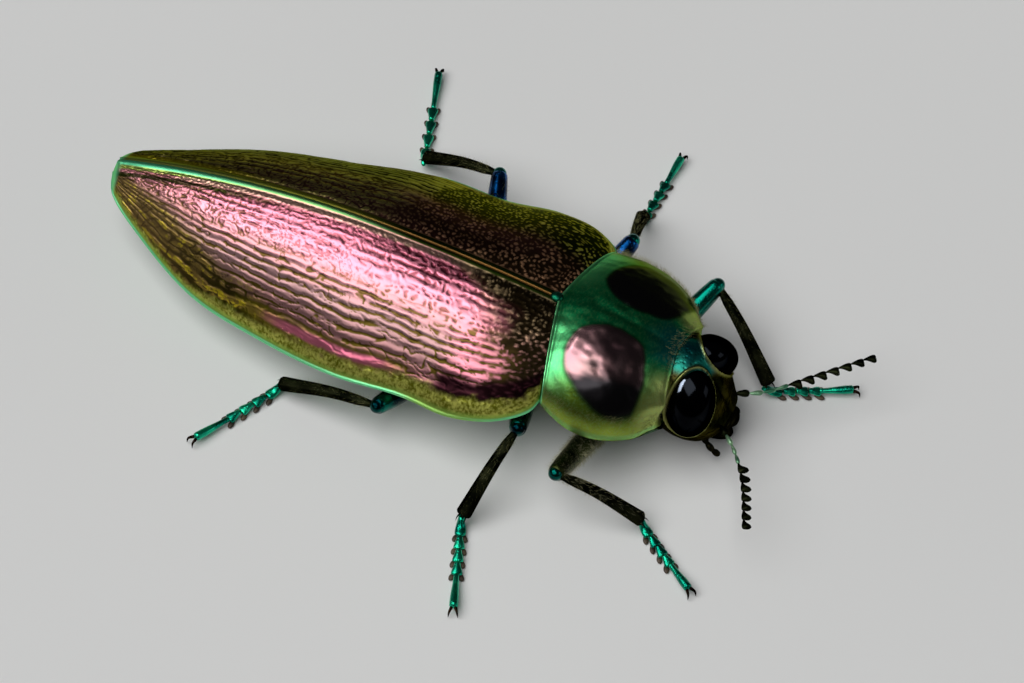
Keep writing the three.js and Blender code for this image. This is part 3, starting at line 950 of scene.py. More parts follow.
@dataclass(frozen=True)
class ShieldFinish(Finish):
    """Silky green pronotum with two glossy copper spots, painted dark as shade but for painted highlights
    on the right one, and a painted mint highlight near the rear.
    """

    def mixed(self) -> bpy.types.Material:
        """Colours the shield by its place, with the spots' masks stored on the mesh.

        Returns:
            The material.
        """
        paint = Paint(self.name)
        spot, rim, side = paint.mark("spot"), paint.mark("rim"), paint.mark("side")
        front, lit = paint.mark("front"), paint.mark("lit")
        silk = paint.noise(5200.0, 3.0, (1.0, 0.6, 1.0))
        drift = paint.noise(220.0, 2.0) - 0.5
        wide = side + 0.20 * drift
        green = paint.ramp(
            wide,
            [
                (0.00, rgb(14, 118, 72)), (0.40, rgb(24, 136, 78)),
                (0.62, rgb(62, 138, 66)), (0.80, rgb(92, 120, 40)),
                (0.92, rgb(92, 108, 36)), (1.00, rgb(150, 170, 66)),
            ],
        )
        ahead = (front + 0.3 * drift).ease(0.70, 0.95)
        green = paint.mix(ahead * wide.ease(0.45, 0.2), green, rgb(20, 116, 112))
        green = paint.mix(ahead * wide.ease(0.35, 0.6) * 0.8, green, rgb(168, 180, 104))
        # painted highlight: pale mint near the rear middle, where the slope faces the light
        behind = (front + 0.2 * drift).ease(0.34, 0.08) * wide.near(0.55, 0.45)
        green = paint.mix(behind, green, rgb(92, 196, 124))
        green = paint.mix(silk.ease(0.4, 0.75) * 0.25, green, rgb(130, 190, 120))
        # painted highlight and shade: the right spot's copper is pale along a torn band and in flecks, and
        # dark elsewhere, as is the whole left spot
        copper = paint.mix((drift + 0.5).ease(0.3, 0.7), rgb(204, 150, 158), rgb(216, 172, 166))
        copper = paint.mix(lit.ease(0.0, 1.0), rgb(48, 46, 48), copper)
        shade = spot.ease(0.02, 0.5)
        body = paint.mix(shade * 0.75, green, rgb(10, 40, 24))
        body = paint.mix(spot.ease(0.2, 0.85), body, copper)
        body = paint.mix(rim, body, rgb(128, 224, 150))
        gloss = spot.ease(0.3, 0.7)
        height = silk * (1.0 - gloss)
        return paint.finish(
            Base_Color=body,
            Metallic=1.0,
            Roughness=0.36 - 0.12 * gloss,
            Normal=paint.bump(height, 0.03, 0.5),
            Specular_Tint=(0.6, 0.7, 0.4),
        )


@dataclass(frozen=True)
class HeadFinish(Finish):
    """Dark olive face, teal crown and pale orbit rims."""

    def mixed(self) -> bpy.types.Material:
        """Colours the head by noise and by the marks of its crown and orbits.

        Returns:
            The material.
        """
        paint = Paint(self.name)
        crown, orbit = paint.mark("crown"), paint.mark("orbit")
        drift = paint.noise(420.0, 3.0)
        pits = paint.cells(2600.0)
        face = paint.mix(drift.ease(0.35, 0.65), rgb(26, 28, 14), rgb(64, 60, 32))
        teal = paint.mix(drift.ease(0.4, 0.65), rgb(14, 78, 84), rgb(40, 128, 112))
        colour = paint.mix(crown, face, teal)
        colour = paint.mix(orbit, colour, rgb(140, 142, 84))
        return paint.finish(
            Base_Color=colour,
            Metallic=1.0,
            Roughness=0.4,
            Specular_Tint=(0.2, 0.2, 0.1),
            Normal=paint.bump(pits.ease(0.0, 0.5), 0.04, 0.7),
        )


@dataclass(frozen=True)
class EyeFinish(Finish):
    """Deep brown-black glassy eye with fine facets."""

    def mixed(self) -> bpy.types.Material:
        """Shades a dark lens field.

        Returns:
            The material.
        """
        paint = Paint(self.name)
        drift = paint.noise(300.0, 2.0)
        facets = paint.cells(9000.0)
        colour = paint.mix(drift.ease(0.3, 0.7), rgb(15, 16, 18), rgb(28, 30, 33))
        return paint.finish(
            Base_Color=colour,
            Metallic=1.0,
            Roughness=0.09,
            Specular_Tint=(0.0, 0.0, 0.0),
            Normal=paint.bump(facets.ease(0.0, 0.6), 0.006, 0.2),
        )


@dataclass(frozen=True)
class ShellFinish(Finish):
    """Metallic cuticle in two colours, with pits.

    Attributes:
        deep: Colour in the hollows.
        bright: Colour of the crests.
        metal: Share of metal.
        rough: Roughness.
        grain: Pits to a metre.
        black: Whether grazing reflections are kept dark.
    """

    deep: Colour = (0.0, 0.0, 0.0)
    bright: Colour = (1.0, 1.0, 1.0)
    metal: float = 1.0
    rough: float = 0.3
    grain: float = 2400.0
    black: bool = False

    def mixed(self) -> bpy.types.Material:
        """Mixes the two colours by drifting noise.

        Returns:
            The material.
        """
        paint = Paint(self.name)
        drift = paint.noise(500.0, 3.0)
        pits = paint.cells(self.grain)
        colour = paint.mix(drift.ease(0.32, 0.68), self.deep, self.bright)
        return paint.finish(
            Base_Color=colour,
            Metallic=self.metal,
            Roughness=self.rough + 0.12 * drift,
            Normal=paint.bump(pits.ease(0.0, 0.45), 0.03, 0.6),
            Specular_Tint=(0.0, 0.0, 0.0) if self.black else (1.0, 1.0, 1.0),
        )


UNDERSIDE = ShellFinish("green_belly", "underside", rgb(16, 76, 46), rgb(78, 146, 74), 0.65, 0.34)
LEG = ShellFinish("teal_leg", "leg_green", rgb(2, 30, 38), rgb(14, 124, 106), 1.0, 0.18, 3000.0)
BLUE_LEG = ShellFinish("blue_leg", "leg_green", rgb(5, 16, 38), rgb(22, 84, 146), 1.0, 0.18, 3000.0)
OLIVE_LEG = ShellFinish("olive_leg", "leg_green", rgb(20, 26, 14), rgb(66, 72, 40), 1.0, 0.3, 3000.0)
FOOT = ShellFinish("emerald_foot", "leg_green", rgb(8, 120, 100), rgb(40, 196, 150), 1.0, 0.22, 5000.0)
SHIN = ShellFinish("dark_shin", "leg_dark", rgb(14, 16, 12), rgb(40, 42, 28), 1.0, 0.4, 3400.0, True)
PAD = ShellFinish("foot_pad", "leg_dark", rgb(38, 30, 22), rgb(84, 70, 52), 0.0, 0.5, 6000.0)
CLAW = ShellFinish("dark_claw", "leg_dark", rgb(16, 12, 10), rgb(50, 36, 26), 1.0, 0.3, 4000.0, True)
JAW = ShellFinish("dark_jaw", "mouth", rgb(12, 12, 9), rgb(40, 38, 24), 1.0, 0.3, 3000.0, True)
SAW = ShellFinish("feeler_saw", "antenna", rgb(14, 16, 12), rgb(44, 48, 32), 1.0, 0.4, 6000.0, True)
BEAD = ShellFinish("feeler_bead", "antenna", rgb(60, 120, 90), rgb(150, 190, 150), 0.8, 0.3, 6000.0)
WOOL = ShellFinish("pale_wool", "leg_dark", rgb(132, 128, 92), rgb(188, 184, 146), 0.0, 0.6, 2000.0)
HAIR = ShellFinish("pale_hair", "leg_dark", rgb(104, 104, 60), rgb(150, 148, 100), 0.0, 0.6, 2000.0)
SCALE = ShellFinish("emerald_scale", "leg_green", rgb(8, 60, 50), rgb(30, 110, 80), 1.0, 0.3, 3000.0)
WING_CASES = {
    Side.RIGHT: WingCaseFinish("bright_wing_case", "wing_case"),
    # the left wing case is a copy painted darker as shade, with its own seam stripe
    Side.LEFT: WingCaseFinish(
        "dusky_wing_case", "wing_case", 0.86, rgb(140, 130, 30), (0.7, 0.5), (0.0, 2.0), (17.0, 11.0)
    ),
}
EYE = EyeFinish("dark_eye", "eye")
HEAD = HeadFinish("olive_head", "head_shell")
SHIELD = ShieldFinish("silky_shield", "pronotum")


@dataclass
class SubAssembly:
    """What the beetle's sub-assemblies share.

    Attributes:
        bench: Modelling tools.
    """

    bench: Bench


# ---- wing cases
class WingShape:
    """Smooth surface of the left wing case, also the roof of the hind body.

    Attributes:
        EDGE: Outer edge from the tip to the front.
        CREST_X, CREST: Place and height of the seam's highest point.
        FRONT_FALL, REAR_FALL: How fast the seam falls from it, ahead and behind.
        SEAM: Distance of the seam from the middle.
        RIM: Drop of the inside's foot below the outer edge.
        ADVANCE, NOTCH: How far the seam ends behind the edge's front and ahead of its tip.
    """

    EDGE = (
        (-44.5, 0.85, 6.4), (-43.75, 2.5, 5.8), (-39.1, 5.5, 4.7), (-32.3, 8.9, 4.3),
        (-25.2, 10.6, 4.6), (-17.0, 12.0, 5.7), (-10.4, 11.75, 6.2), (-5.6, 12.2, 6.7),
        (-1.6, 11.35, 7.4), (0.9, 9.7, 8.15), (1.45, 8.65, 8.7),
    )
    CREST_X, CREST = -17.0, 13.2
    FRONT_FALL, REAR_FALL = 0.0042, 0.0074
    SEAM = 0.012
    RIM = 0.5
    ADVANCE, NOTCH = 2.15, 0.35

    def __init__(self) -> None:
        """Samples the outer edge densely, to place rows by their distance along the seam."""
        self.edge = Path(self.EDGE)
        self.dense = np.linspace(0.0, 1.0, 4001)
        self.dense_seam = self.seam_x(self.edge.at(self.dense)[..., 0])

    def seam_x(self, edge_x: np.ndarray) -> np.ndarray:
        """Finds the places along the seam that meet places along the outer edge.

        Args:
            edge_x: Places forward on the outer edge.

        Returns:
            Places forward on the seam.
        """
        advance = self.ADVANCE * smooth(edge_x, -5.6, self.EDGE[-1][0])
        notch = self.NOTCH * (1.0 - smooth(edge_x, self.EDGE[0][0], self.EDGE[0][0] + 0.9))
        return edge_x - advance + notch

    def seam_height(self, x: np.ndarray) -> np.ndarray:
        """Height of the seam."""
        fall = np.where(x > self.CREST_X, self.FRONT_FALL, self.REAR_FALL)
        return self.CREST - fall * (x - self.CREST_X) ** 2

    def rows(self, share: np.ndarray) -> np.ndarray:
        """Shares of the edge's knots for shares of the seam's length."""
        seam = self.dense_seam
        return np.interp(seam[0] + share * (seam[-1] - seam[0]), seam, self.dense)

    def point(self, t: np.ndarray, u: np.ndarray, inset: float | np.ndarray = 0.0) -> np.ndarray:
        """Points of the surface or below it.

        Args:
            t: Shares of the edge's knots, from tail to front.
            u: Shares across, from the seam to the edge.
            inset: Depth below the surface in millimetres.

        Returns:
            The points.
        """
        edge = self.edge.at(t)
        x, y, z = edge[..., 0], edge[..., 1], edge[..., 2]
        seam = self.seam_x(x)
        inset = np.broadcast_to(inset, seam.shape)
        foot = z - self.RIM * (inset > 0)
        ridge = np.maximum(self.seam_height(seam) - inset, foot + 0.05)
        base = smooth(x, -9.0, 0.0)
        arch = np.maximum(0.0, 1.0 - np.abs(u) ** (1.9 + 0.5 * base)) ** (0.85 - 0.25 * base)
        reach = (y - self.SEAM) * u * (1.0 - inset / np.maximum(y, 2.5 * inset))
        return np.stack([seam + (x - seam) * u, self.SEAM + reach, foot + (ridge - foot) * arch], -1)


@dataclass
class WingCase(SubAssembly):
    """One ribbed and wrinkled wing case.

    Attributes:
        side: Side of the body.
        rows: Steps from tip to front.
        top: Steps across the outside.
        under: Steps across the inside.
        wall: Thickness in millimetres.
        rib_height: Height in millimetres of a rib of height 1.
        wrinkle_height: Height in millimetres of the wrinkles and grains.
        seeds: Numbers that fix the broad and the fine noise.
        ribs: Place across, height and half width of each lengthwise rib.
        shape: Smooth surface that the relief stands on.
    """

    side: Side
    rows: int = 430
    top: int = 150
    under: int = 12
    wall: float = 0.8
    rib_height: float = 0.064
    wrinkle_height: float = 0.056
    seeds: tuple[int, int] = (11, 31)
    ribs: tuple[Point, ...] = (
        (0.085, 0.50, 0.018), (0.200, 0.55, 0.016), (0.270, 0.60, 0.016), (0.340, 0.45, 0.016),
        (0.415, 0.25, 0.016), (0.500, 0.70, 0.014), (0.555, 0.80, 0.014), (0.610, 0.80, 0.014),
        (0.665, 0.85, 0.014), (0.720, 0.80, 0.014), (0.775, 0.70, 0.014), (0.830, 0.60, 0.014),
        (OUTER_RIB, 1.30, 0.020),
    )
    shape: WingShape = field(default_factory=WingShape)

    def relief(
        self, tip: np.ndarray, seam: np.ndarray, edge: np.ndarray, across: np.ndarray
    ) -> Pair:
        """Works out the relief of ribs, wrinkles, pits and grains.

        Args:
            tip: Millimetres from the tip.
            seam: Millimetres from the seam.
            edge: Millimetres from the outer edge.
            across: Shares from the seam to the edge.

        Returns:
            Height in millimetres, and a share from 0 in the grooves to 1 on the crests.
        """
        broad, fine = (Grain(seed + self.side.value) for seed in self.seeds)
        lane = across + 0.022 * broad.at(tip * 0.20, across * 4.0)
        lane = lane + 0.008 * fine.at(tip * 0.8, across * 9.0)
        whole = 0.3 + 0.7 * smooth(fine.at(tip * 0.33 + 9.0, across * 15.0), -0.35, 0.10)
        ribs, grooves = np.zeros_like(tip), np.zeros_like(tip)
        for place, strength, width in self.ribs:
            ribs += strength * bell(lane, place, width)
            for turn in (-2.0, 2.0):
                grooves += strength * bell(lane, place + turn * width, 0.6 * width)
        ribs, grooves = ribs * whole, grooves * whole
        # wrinkles: rounded worms parted by thin grooves where warped noise crosses zero
        warp_x = 0.55 * broad.at(tip * 0.8, seam * 0.9)
        warp_y = 0.40 * broad.at(tip * 0.7 + 40.0, seam * 1.1)
        coarse = fine.at((tip + warp_x) * 1.25, (seam + warp_y) * 2.1)
        slight = broad.at((tip + warp_y) * 2.4 + 17.0, (seam + warp_x) * 3.4)
        worms = smooth(np.abs(coarse), 0.0, 0.22) * (0.6 + 0.4 * smooth(np.abs(slight), 0.0, 0.26))
        long_worms = fine.at((tip + 1.6 * warp_x) * 0.36 + 31.0, (seam + 1.5 * warp_y) * 1.5)
        bars = smooth(np.abs(long_worms), 0.0, 0.17) * (0.8 + 0.2 * smooth(np.abs(slight), 0.0, 0.3))
        lean = across - 0.03 * np.maximum(tip - 32.0, 0.0)
        outward = smooth(lean + 0.1 * warp_x, 0.42, 0.52)
        worms = worms + (bars - worms) * outward
        # pits crowd the front half of the inner field, grains the base
        cell = fine.cells((tip + warp_x) * 1.35, (seam + warp_y) * 1.55)
        pits = smooth(cell, 0.10, 0.42)
        pitted = smooth(tip + 2.0 * warp_x, 24.0, 30.0) * (1.0 - smooth(lean, 0.46, 0.54))
        worms = worms * (1 - 0.75 * pitted) + 0.75 * pitted * pits
        grains = 1.0 - smooth(broad.cells((tip + seam * 0.3 + warp_y) * 2.7, seam * 2.0), 0.12, 0.52)
        grains = grains * (0.6 + 0.4 * smooth(fine.at(tip * 0.7 + 5.0, seam * 0.6), -0.3, 0.3))
        # on the left, the grainy base starts further back and its edge slants evenly
        if self.side is Side.RIGHT:
            start, reach = 33.8, smooth(across, 0.04, 0.26) + 0.2 * bell(across, 0.72, 0.15)
        else:
            start, reach = 25.0, across
        base = smooth(tip + 2.2 * warp_x - WingCaseFinish.BASE_SWEEP * reach, start - 0.6, start + 2.8)
        ribs, grooves = ribs * (1 - base), np.minimum(grooves, 1.0) * (1 - base)
        worms = worms * (1 - base) + grains * base
        border = border_width(partial(smooth, tip))
        ribs = ribs * np.where(np.abs(lane - OUTER_RIB) < 0.05, smooth(edge, 0.5, 1.1), 1.0)
        inside = smooth(edge + 0.5 * warp_x, 0.7 * border, 1.15 * border) * smooth(seam, 0.45, 0.8)
        inside = inside * smooth(tip, 0.3, 1.2)
        height = self.rib_height * ribs * inside
        height += self.wrinkle_height * (worms - 0.6) * (1 - 0.75 * np.minimum(ribs, 1)) * inside
        height -= 0.036 * grooves * inside
        height += 0.10 * bell(edge, 0.16, 0.17) + 0.05 * bell(seam, 0.22, 0.2)
        height -= 0.05 * bell(seam, 0.62, 0.12) * smooth(tip, 1.0, 4.0)
        stitches = 0.5 + 0.5 * np.cos(2 * np.pi * (tip + 0.2 * warp_x) / 0.52)
        height -= 0.04 * stitches * bell(seam, 0.86, 0.16) * smooth(tip, 4.0, 8.0)
        share = 0.12 + 0.62 * worms * (1 - 0.8 * grooves) + 0.40 * ribs
        return height, np.clip(share * inside + 0.6 * (1 - inside), 0.0, 1.0)

    def build(self) -> Piece:
        """Makes the shell, with its distances and relief kept as attributes.

        Returns:
            The shell.
        """
        marks: dict[str, np.ndarray] = {}

        def surface(around: np.ndarray, along: np.ndarray) -> np.ndarray:
            """Runs outside from the seam to the edge, then inside back to the seam.

            Args:
                around: Shares around.
                along: Shares from the tip to the front.

            Returns:
                The points.
            """
            steps = self.top + self.under
            column = np.rint(around * steps).astype(int)
            outside = column <= self.top
            out_share = 1.0 - (1.0 - np.clip(column / self.top, 0, 1)) ** 1.35
            back = 1.0 - (column - self.top - 1) / (self.under - 2)
            u = np.where(outside, out_share, np.clip(back, 0.0, 1.0))
            u = np.where(column == steps, 0.0, u)
            inset = np.where(outside | (column == steps), 0.0, self.wall)
            t = self.shape.rows(along)
            points = self.shape.point(t, u, inset)
            top = points[:, : self.top + 1]
            stride = np.linalg.norm(np.diff(top, axis=1), axis=2)
            seam = np.zeros(around.shape)
            seam[:, 1 : self.top + 1] = np.cumsum(stride, axis=1)
            width = seam[:, self.top : self.top + 1]
            edge = np.where(outside, width - seam, 0.0)
            tip = along * (self.shape.dense_seam[-1] - self.shape.dense_seam[0])
            seam = np.where(outside, seam, 0.0)
            height, share = self.relief(tip, seam, edge, u)
            normal = np.cross(np.gradient(points, axis=0), np.gradient(points, axis=1))
            normal /= np.maximum(np.linalg.norm(normal, axis=2, keepdims=True), 1e-9)
            normal *= np.sign(normal[..., 2:3] + 1e-9)
            points = points + normal * (height * outside)[..., None]
            marks.update(from_tip=tip, across=u, from_seam=seam, from_edge=edge, relief=share)
            points[:, -1] = points[:, 0]
            points[..., 1] *= self.side.value
            return points

        piece = self.bench.loft(
            f"wing_case_{self.side.word}_shell", self.top + self.under, self.rows, surface, marks
        )
        return WING_CASES[self.side].dress(piece, f"wing_case_{self.side.word}")


@dataclass
class Scutellum(SubAssembly):
    """Tiny rounded plate between the wing cases' front corners.

    Attributes:
        radii: Half sizes in millimetres.
    """

    CENTRE = (-0.72, 0.0, 12.1)
    radii: Point = (0.62, 0.55, 0.4)

    def build(self) -> Piece:
        """Makes the plate."""
        piece = self.bench.ball("scutellum_plate", self.CENTRE, self.radii, segments=24, rings=14)
        return SCALE.dress(piece, "scutellum")


# ---- pronotum
class ShieldShape:
    """Smooth surface of the pronotum.

    Attributes:
        EDGE: Left edge from the rear to the front.
        REAR, FRONT: Ends of the mid-line.
        REAR_HEIGHT, RISE, FALL: Height of its rear end, and how it rises and falls ahead of it.
        RIM: Drop of the underside below the edge.
        CORNER: How far the front corners are drawn back.
    """

    EDGE = (
        (1.62, 8.75, 8.6), (2.7, 9.05, 8.0), (4.5, 9.4, 7.4), (6.7, 9.15, 7.0),
        (8.7, 8.3, 6.8), (10.4, 7.0, 6.6), (11.9, 5.6, 6.5),
    )
    REAR, FRONT = -0.55, 10.8
    REAR_HEIGHT, RISE, FALL = 12.15, 3.88, -4.93
    RIM = 0.3
    CORNER = 0.7

    def __init__(self) -> None:
        """Keeps the side edge."""
        self.edge = Path(self.EDGE)

    def point(self, s: np.ndarray, v: np.ndarray) -> np.ndarray:
        """Points of the surface.

        Args:
            s: Shares from the rear to the front.
            v: Shares across, -1 at the right edge and 1 at the left.

        Returns:
            The points.
        """
        edge = self.edge.at(s)
        middle_x = self.REAR + (self.FRONT - self.REAR) * s
        middle_z = self.REAR_HEIGHT + self.RISE * s + self.FALL * s * s
        sweep = np.abs(v) ** (1.1 + 0.4 * s)
        arch = np.maximum(0.0, 1.0 - np.abs(v) ** (2.4 - 0.4 * s)) ** 0.56
        corner = self.CORNER * smooth(np.abs(v), 0.8, 1.0) * smooth(s, 0.75, 1.0)
        x = middle_x + (edge[..., 0] - middle_x) * sweep - corner
        z = edge[..., 2] + (middle_z - edge[..., 2]) * arch
        return np.stack([x, edge[..., 1] * v, z], -1)


@dataclass
class Pronotum(SubAssembly):
    """Smooth green shield behind the head, with two glossy spots and a fringe of hairs.

    Attributes:
        rows: Steps from rear to front.
        top: Steps across the outside.
        under: Steps across the inside.
        bead: Height of the raised rear rim.
        spots: Outline of each spot: x and y in millimetres.
        flecks: Small painted highlights on the right spot: x, y, half length, half width and strength.
        hairs: Number of hairs in the fringe.
        hair_girth: Radius of a hair at its root.
        shape: Smooth surface of the shield.
    """

    SEED, HAIR_SEED = 5, 9

    rows: int = 110
    top: int = 170
    under: int = 14
    bead: float = 0.1
    spots: dict[Side, tuple[tuple[float, float], ...]] = field(
        default_factory=lambda: {
            Side.RIGHT: (
                (2.1, -4.2), (2.5, -2.7), (4.1, -1.65), (6.6, -1.4), (8.1, -1.8), (8.9, -3.4),
                (9.35, -5.5), (9.2, -6.9), (7.6, -7.9), (5.5, -7.8), (3.7, -7.0), (2.6, -6.0),
            ),
            Side.LEFT: (
                (2.6, 3.4), (3.1, 5.2), (4.6, 6.8), (6.7, 7.4), (8.8, 7.1), (10.2, 6.1),
                (9.8, 4.2), (9.1, 2.4), (8.4, 1.8), (7.3, 1.6), (5.4, 1.4), (3.7, 2.0),
            ),
        }
    )
    flecks: tuple[tuple[float, float, float, float, float], ...] = (
        (5.2, -5.6, 0.55, 0.3, 0.5), (6.2, -2.8, 0.4, 0.2, 0.45),
        (7.7, -1.9, 0.35, 0.35, 0.4), (7.8, -4.1, 0.3, 0.45, 0.4),
    )
    hairs: int = 3600
    hair_girth: float = 0.006
    shape: ShieldShape = field(default_factory=ShieldShape)

    def spot_share(self, x: np.ndarray, y: np.ndarray) -> np.ndarray:
        """How far inside a spot each place is, 0.5 on its outline.

        Args:
            x: Places along the body.
            y: Places across it.

        Returns:
            Shares from 0 well outside to 1 well inside.
        """
        best = np.zeros_like(x)
        for outline in self.spots.values():
            ring = np.asarray(outline)
            middle = ring.mean(axis=0)
            arms = ring - middle
            turn, reach = np.arctan2(arms[:, 1], arms[:, 0]), np.hypot(arms[:, 0], arms[:, 1])
            order = np.argsort(turn)
            angle = np.arctan2(y - middle[1], x - middle[0])
            limit = np.interp(angle, turn[order], reach[order], period=2 * np.pi)
            gone = limit - np.hypot(x - middle[0], y - middle[1])
            best = np.maximum(best, smooth(gone, -0.55, 0.55))
        return best

    def sheen(self, x: np.ndarray, y: np.ndarray, grain: Grain) -> np.ndarray:
        """Share of painted highlight on the right spot's copper, a torn band with small painted highlights
        in front of it; the left spot and the rest of the right stay dark as painted shade.

        Args:
            x: Places forward in millimetres.
            y: Places to the left in millimetres.
            grain: Noise that tears the edges.

        Returns:
            Numbers from 0 on copper painted dark as shade to 1 on copper painted pale as a highlight.
        """
        torn = 0.25 * grain.at(x * 0.9, y * 2.2)
        band = bell(-y - 4.0 - 0.16 * (x - 2.2) + torn, 0.0, 0.42) * (1.0 - smooth(x + torn, 5.6, 6.8))
        pale = 0.26 + 0.34 * (1.0 - smooth(x + 2.0 * torn, 3.2, 5.4)) + 0.6 * band
        for place_x, place_y, length, width, strength in self.flecks:
            pale += strength * bell(x + torn, place_x, length) * bell(y + torn, place_y, width)
        return (y < 0) * (1.0 - smooth(-y + 0.3 * (x - 6.0) + torn, 5.3, 6.5)) * np.minimum(pale, 1.0)

    def build(self) -> list[Piece]:
        """Makes the shield and its fringe.

        Returns:
            The shield and the fringe.
        """
        marks: dict[str, np.ndarray] = {}
        grain = Grain(self.SEED)

        def surface(around: np.ndarray, s: np.ndarray) -> np.ndarray:
            """Runs over the top from right to left, then back along the flat underside.

            Args:
                around: Shares around.
                s: Shares from the rear to the front.

            Returns:
                The points.
            """
            steps = self.top + self.under
            column = np.rint(around * steps).astype(int)
            outside = column <= self.top
            share = np.clip(2.0 * column / self.top - 1.0, -1.0, 1.0)
            crowded = np.sign(share) * (1.0 - (1.0 - np.abs(share)) ** 1.5)
            v = np.where(outside, crowded, np.clip(1.0 - 2.0 * (column - self.top) / self.under, -1, 1))
            v = np.where(column == steps, -1.0, v)
            points = self.shape.point(s, v)
            floor = self.shape.edge.at(s)[..., 2] - self.shape.RIM
            x, y = points[..., 0].copy(), points[..., 1].copy()
            spot = self.spot_share(x, y)
            front = np.clip(s, 0, 1)
            height = 0.10 * spot
            height += self.bead * (bell(s, 0.006, 0.012) + 0.6 * bell(s, 0.985, 0.02))
            height -= 0.06 * bell(s, 0.035, 0.015)
            height -= 0.07 * bell(y, 0.0, 0.35) * smooth(s, 0.25, 0.5) * (1 - smooth(s, 0.8, 0.95))
            height += 0.05 * grain.at(x * 0.5, y * 0.5) + 0.035 * grain.at(x * 1.0 + 3.0, y * 1.3)
            height -= 0.10 * bell(x, 5.2, 0.5) * bell(np.abs(y), 1.25, 0.35)
            points[..., 2] = np.where(outside, points[..., 2] + height * (1 - np.abs(v) ** 8), floor)
            rim = np.maximum(1.0 - smooth(s, 0.012, 0.022), smooth(np.abs(v), 0.985, 0.997) * 0.4)
            # painted highlight and shade of the spots' copper
            lit = self.sheen(x, y, grain)
            marks.update(spot=spot, rim=rim * outside, side=np.abs(v), front=front, lit=lit)
            points[:, -1] = points[:, 0]
            return points

        piece = self.bench.loft("pronotum_shield", self.top + self.under, self.rows, surface, marks)
        return [SHIELD.dress(piece, "pronotum"), HAIR.dress(self.fringe())]

    def fringe(self) -> Piece:
        """Makes the short pale hairs along the sides and the front.

        Returns:
            The hairs.
        """
        count = self.hairs
        draw = np.random.default_rng(self.HAIR_SEED)
        s = draw.uniform(0.03, 1.0, count)
        side = draw.choice([-1.0, 1.0], count)
        v = side * (1.0 - 0.11 * draw.random(count) ** 1.4)
        front = draw.random(count) < 0.12
        s = np.where(front, 0.9 + 0.1 * draw.random(count) ** 0.6, s)
        v = np.where(front, draw.uniform(-1.0, 1.0, count), v)
        roots = self.shape.point(s, v)
        ways = np.stack(
            [
                np.where(front, 0.95, -0.25) + 0.15 * draw.normal(size=count),
                np.where(front, 0.5 * v, side * 0.8) + 0.15 * draw.normal(size=count),
                np.where(front, 0.0, 0.25) + 0.15 * draw.random(count),
            ],
            -1,
        )
        lengths = draw.uniform(0.3, 0.7, count)
        return self.bench.hairs("pronotum_fringe", roots, ways, lengths, self.hair_girth)


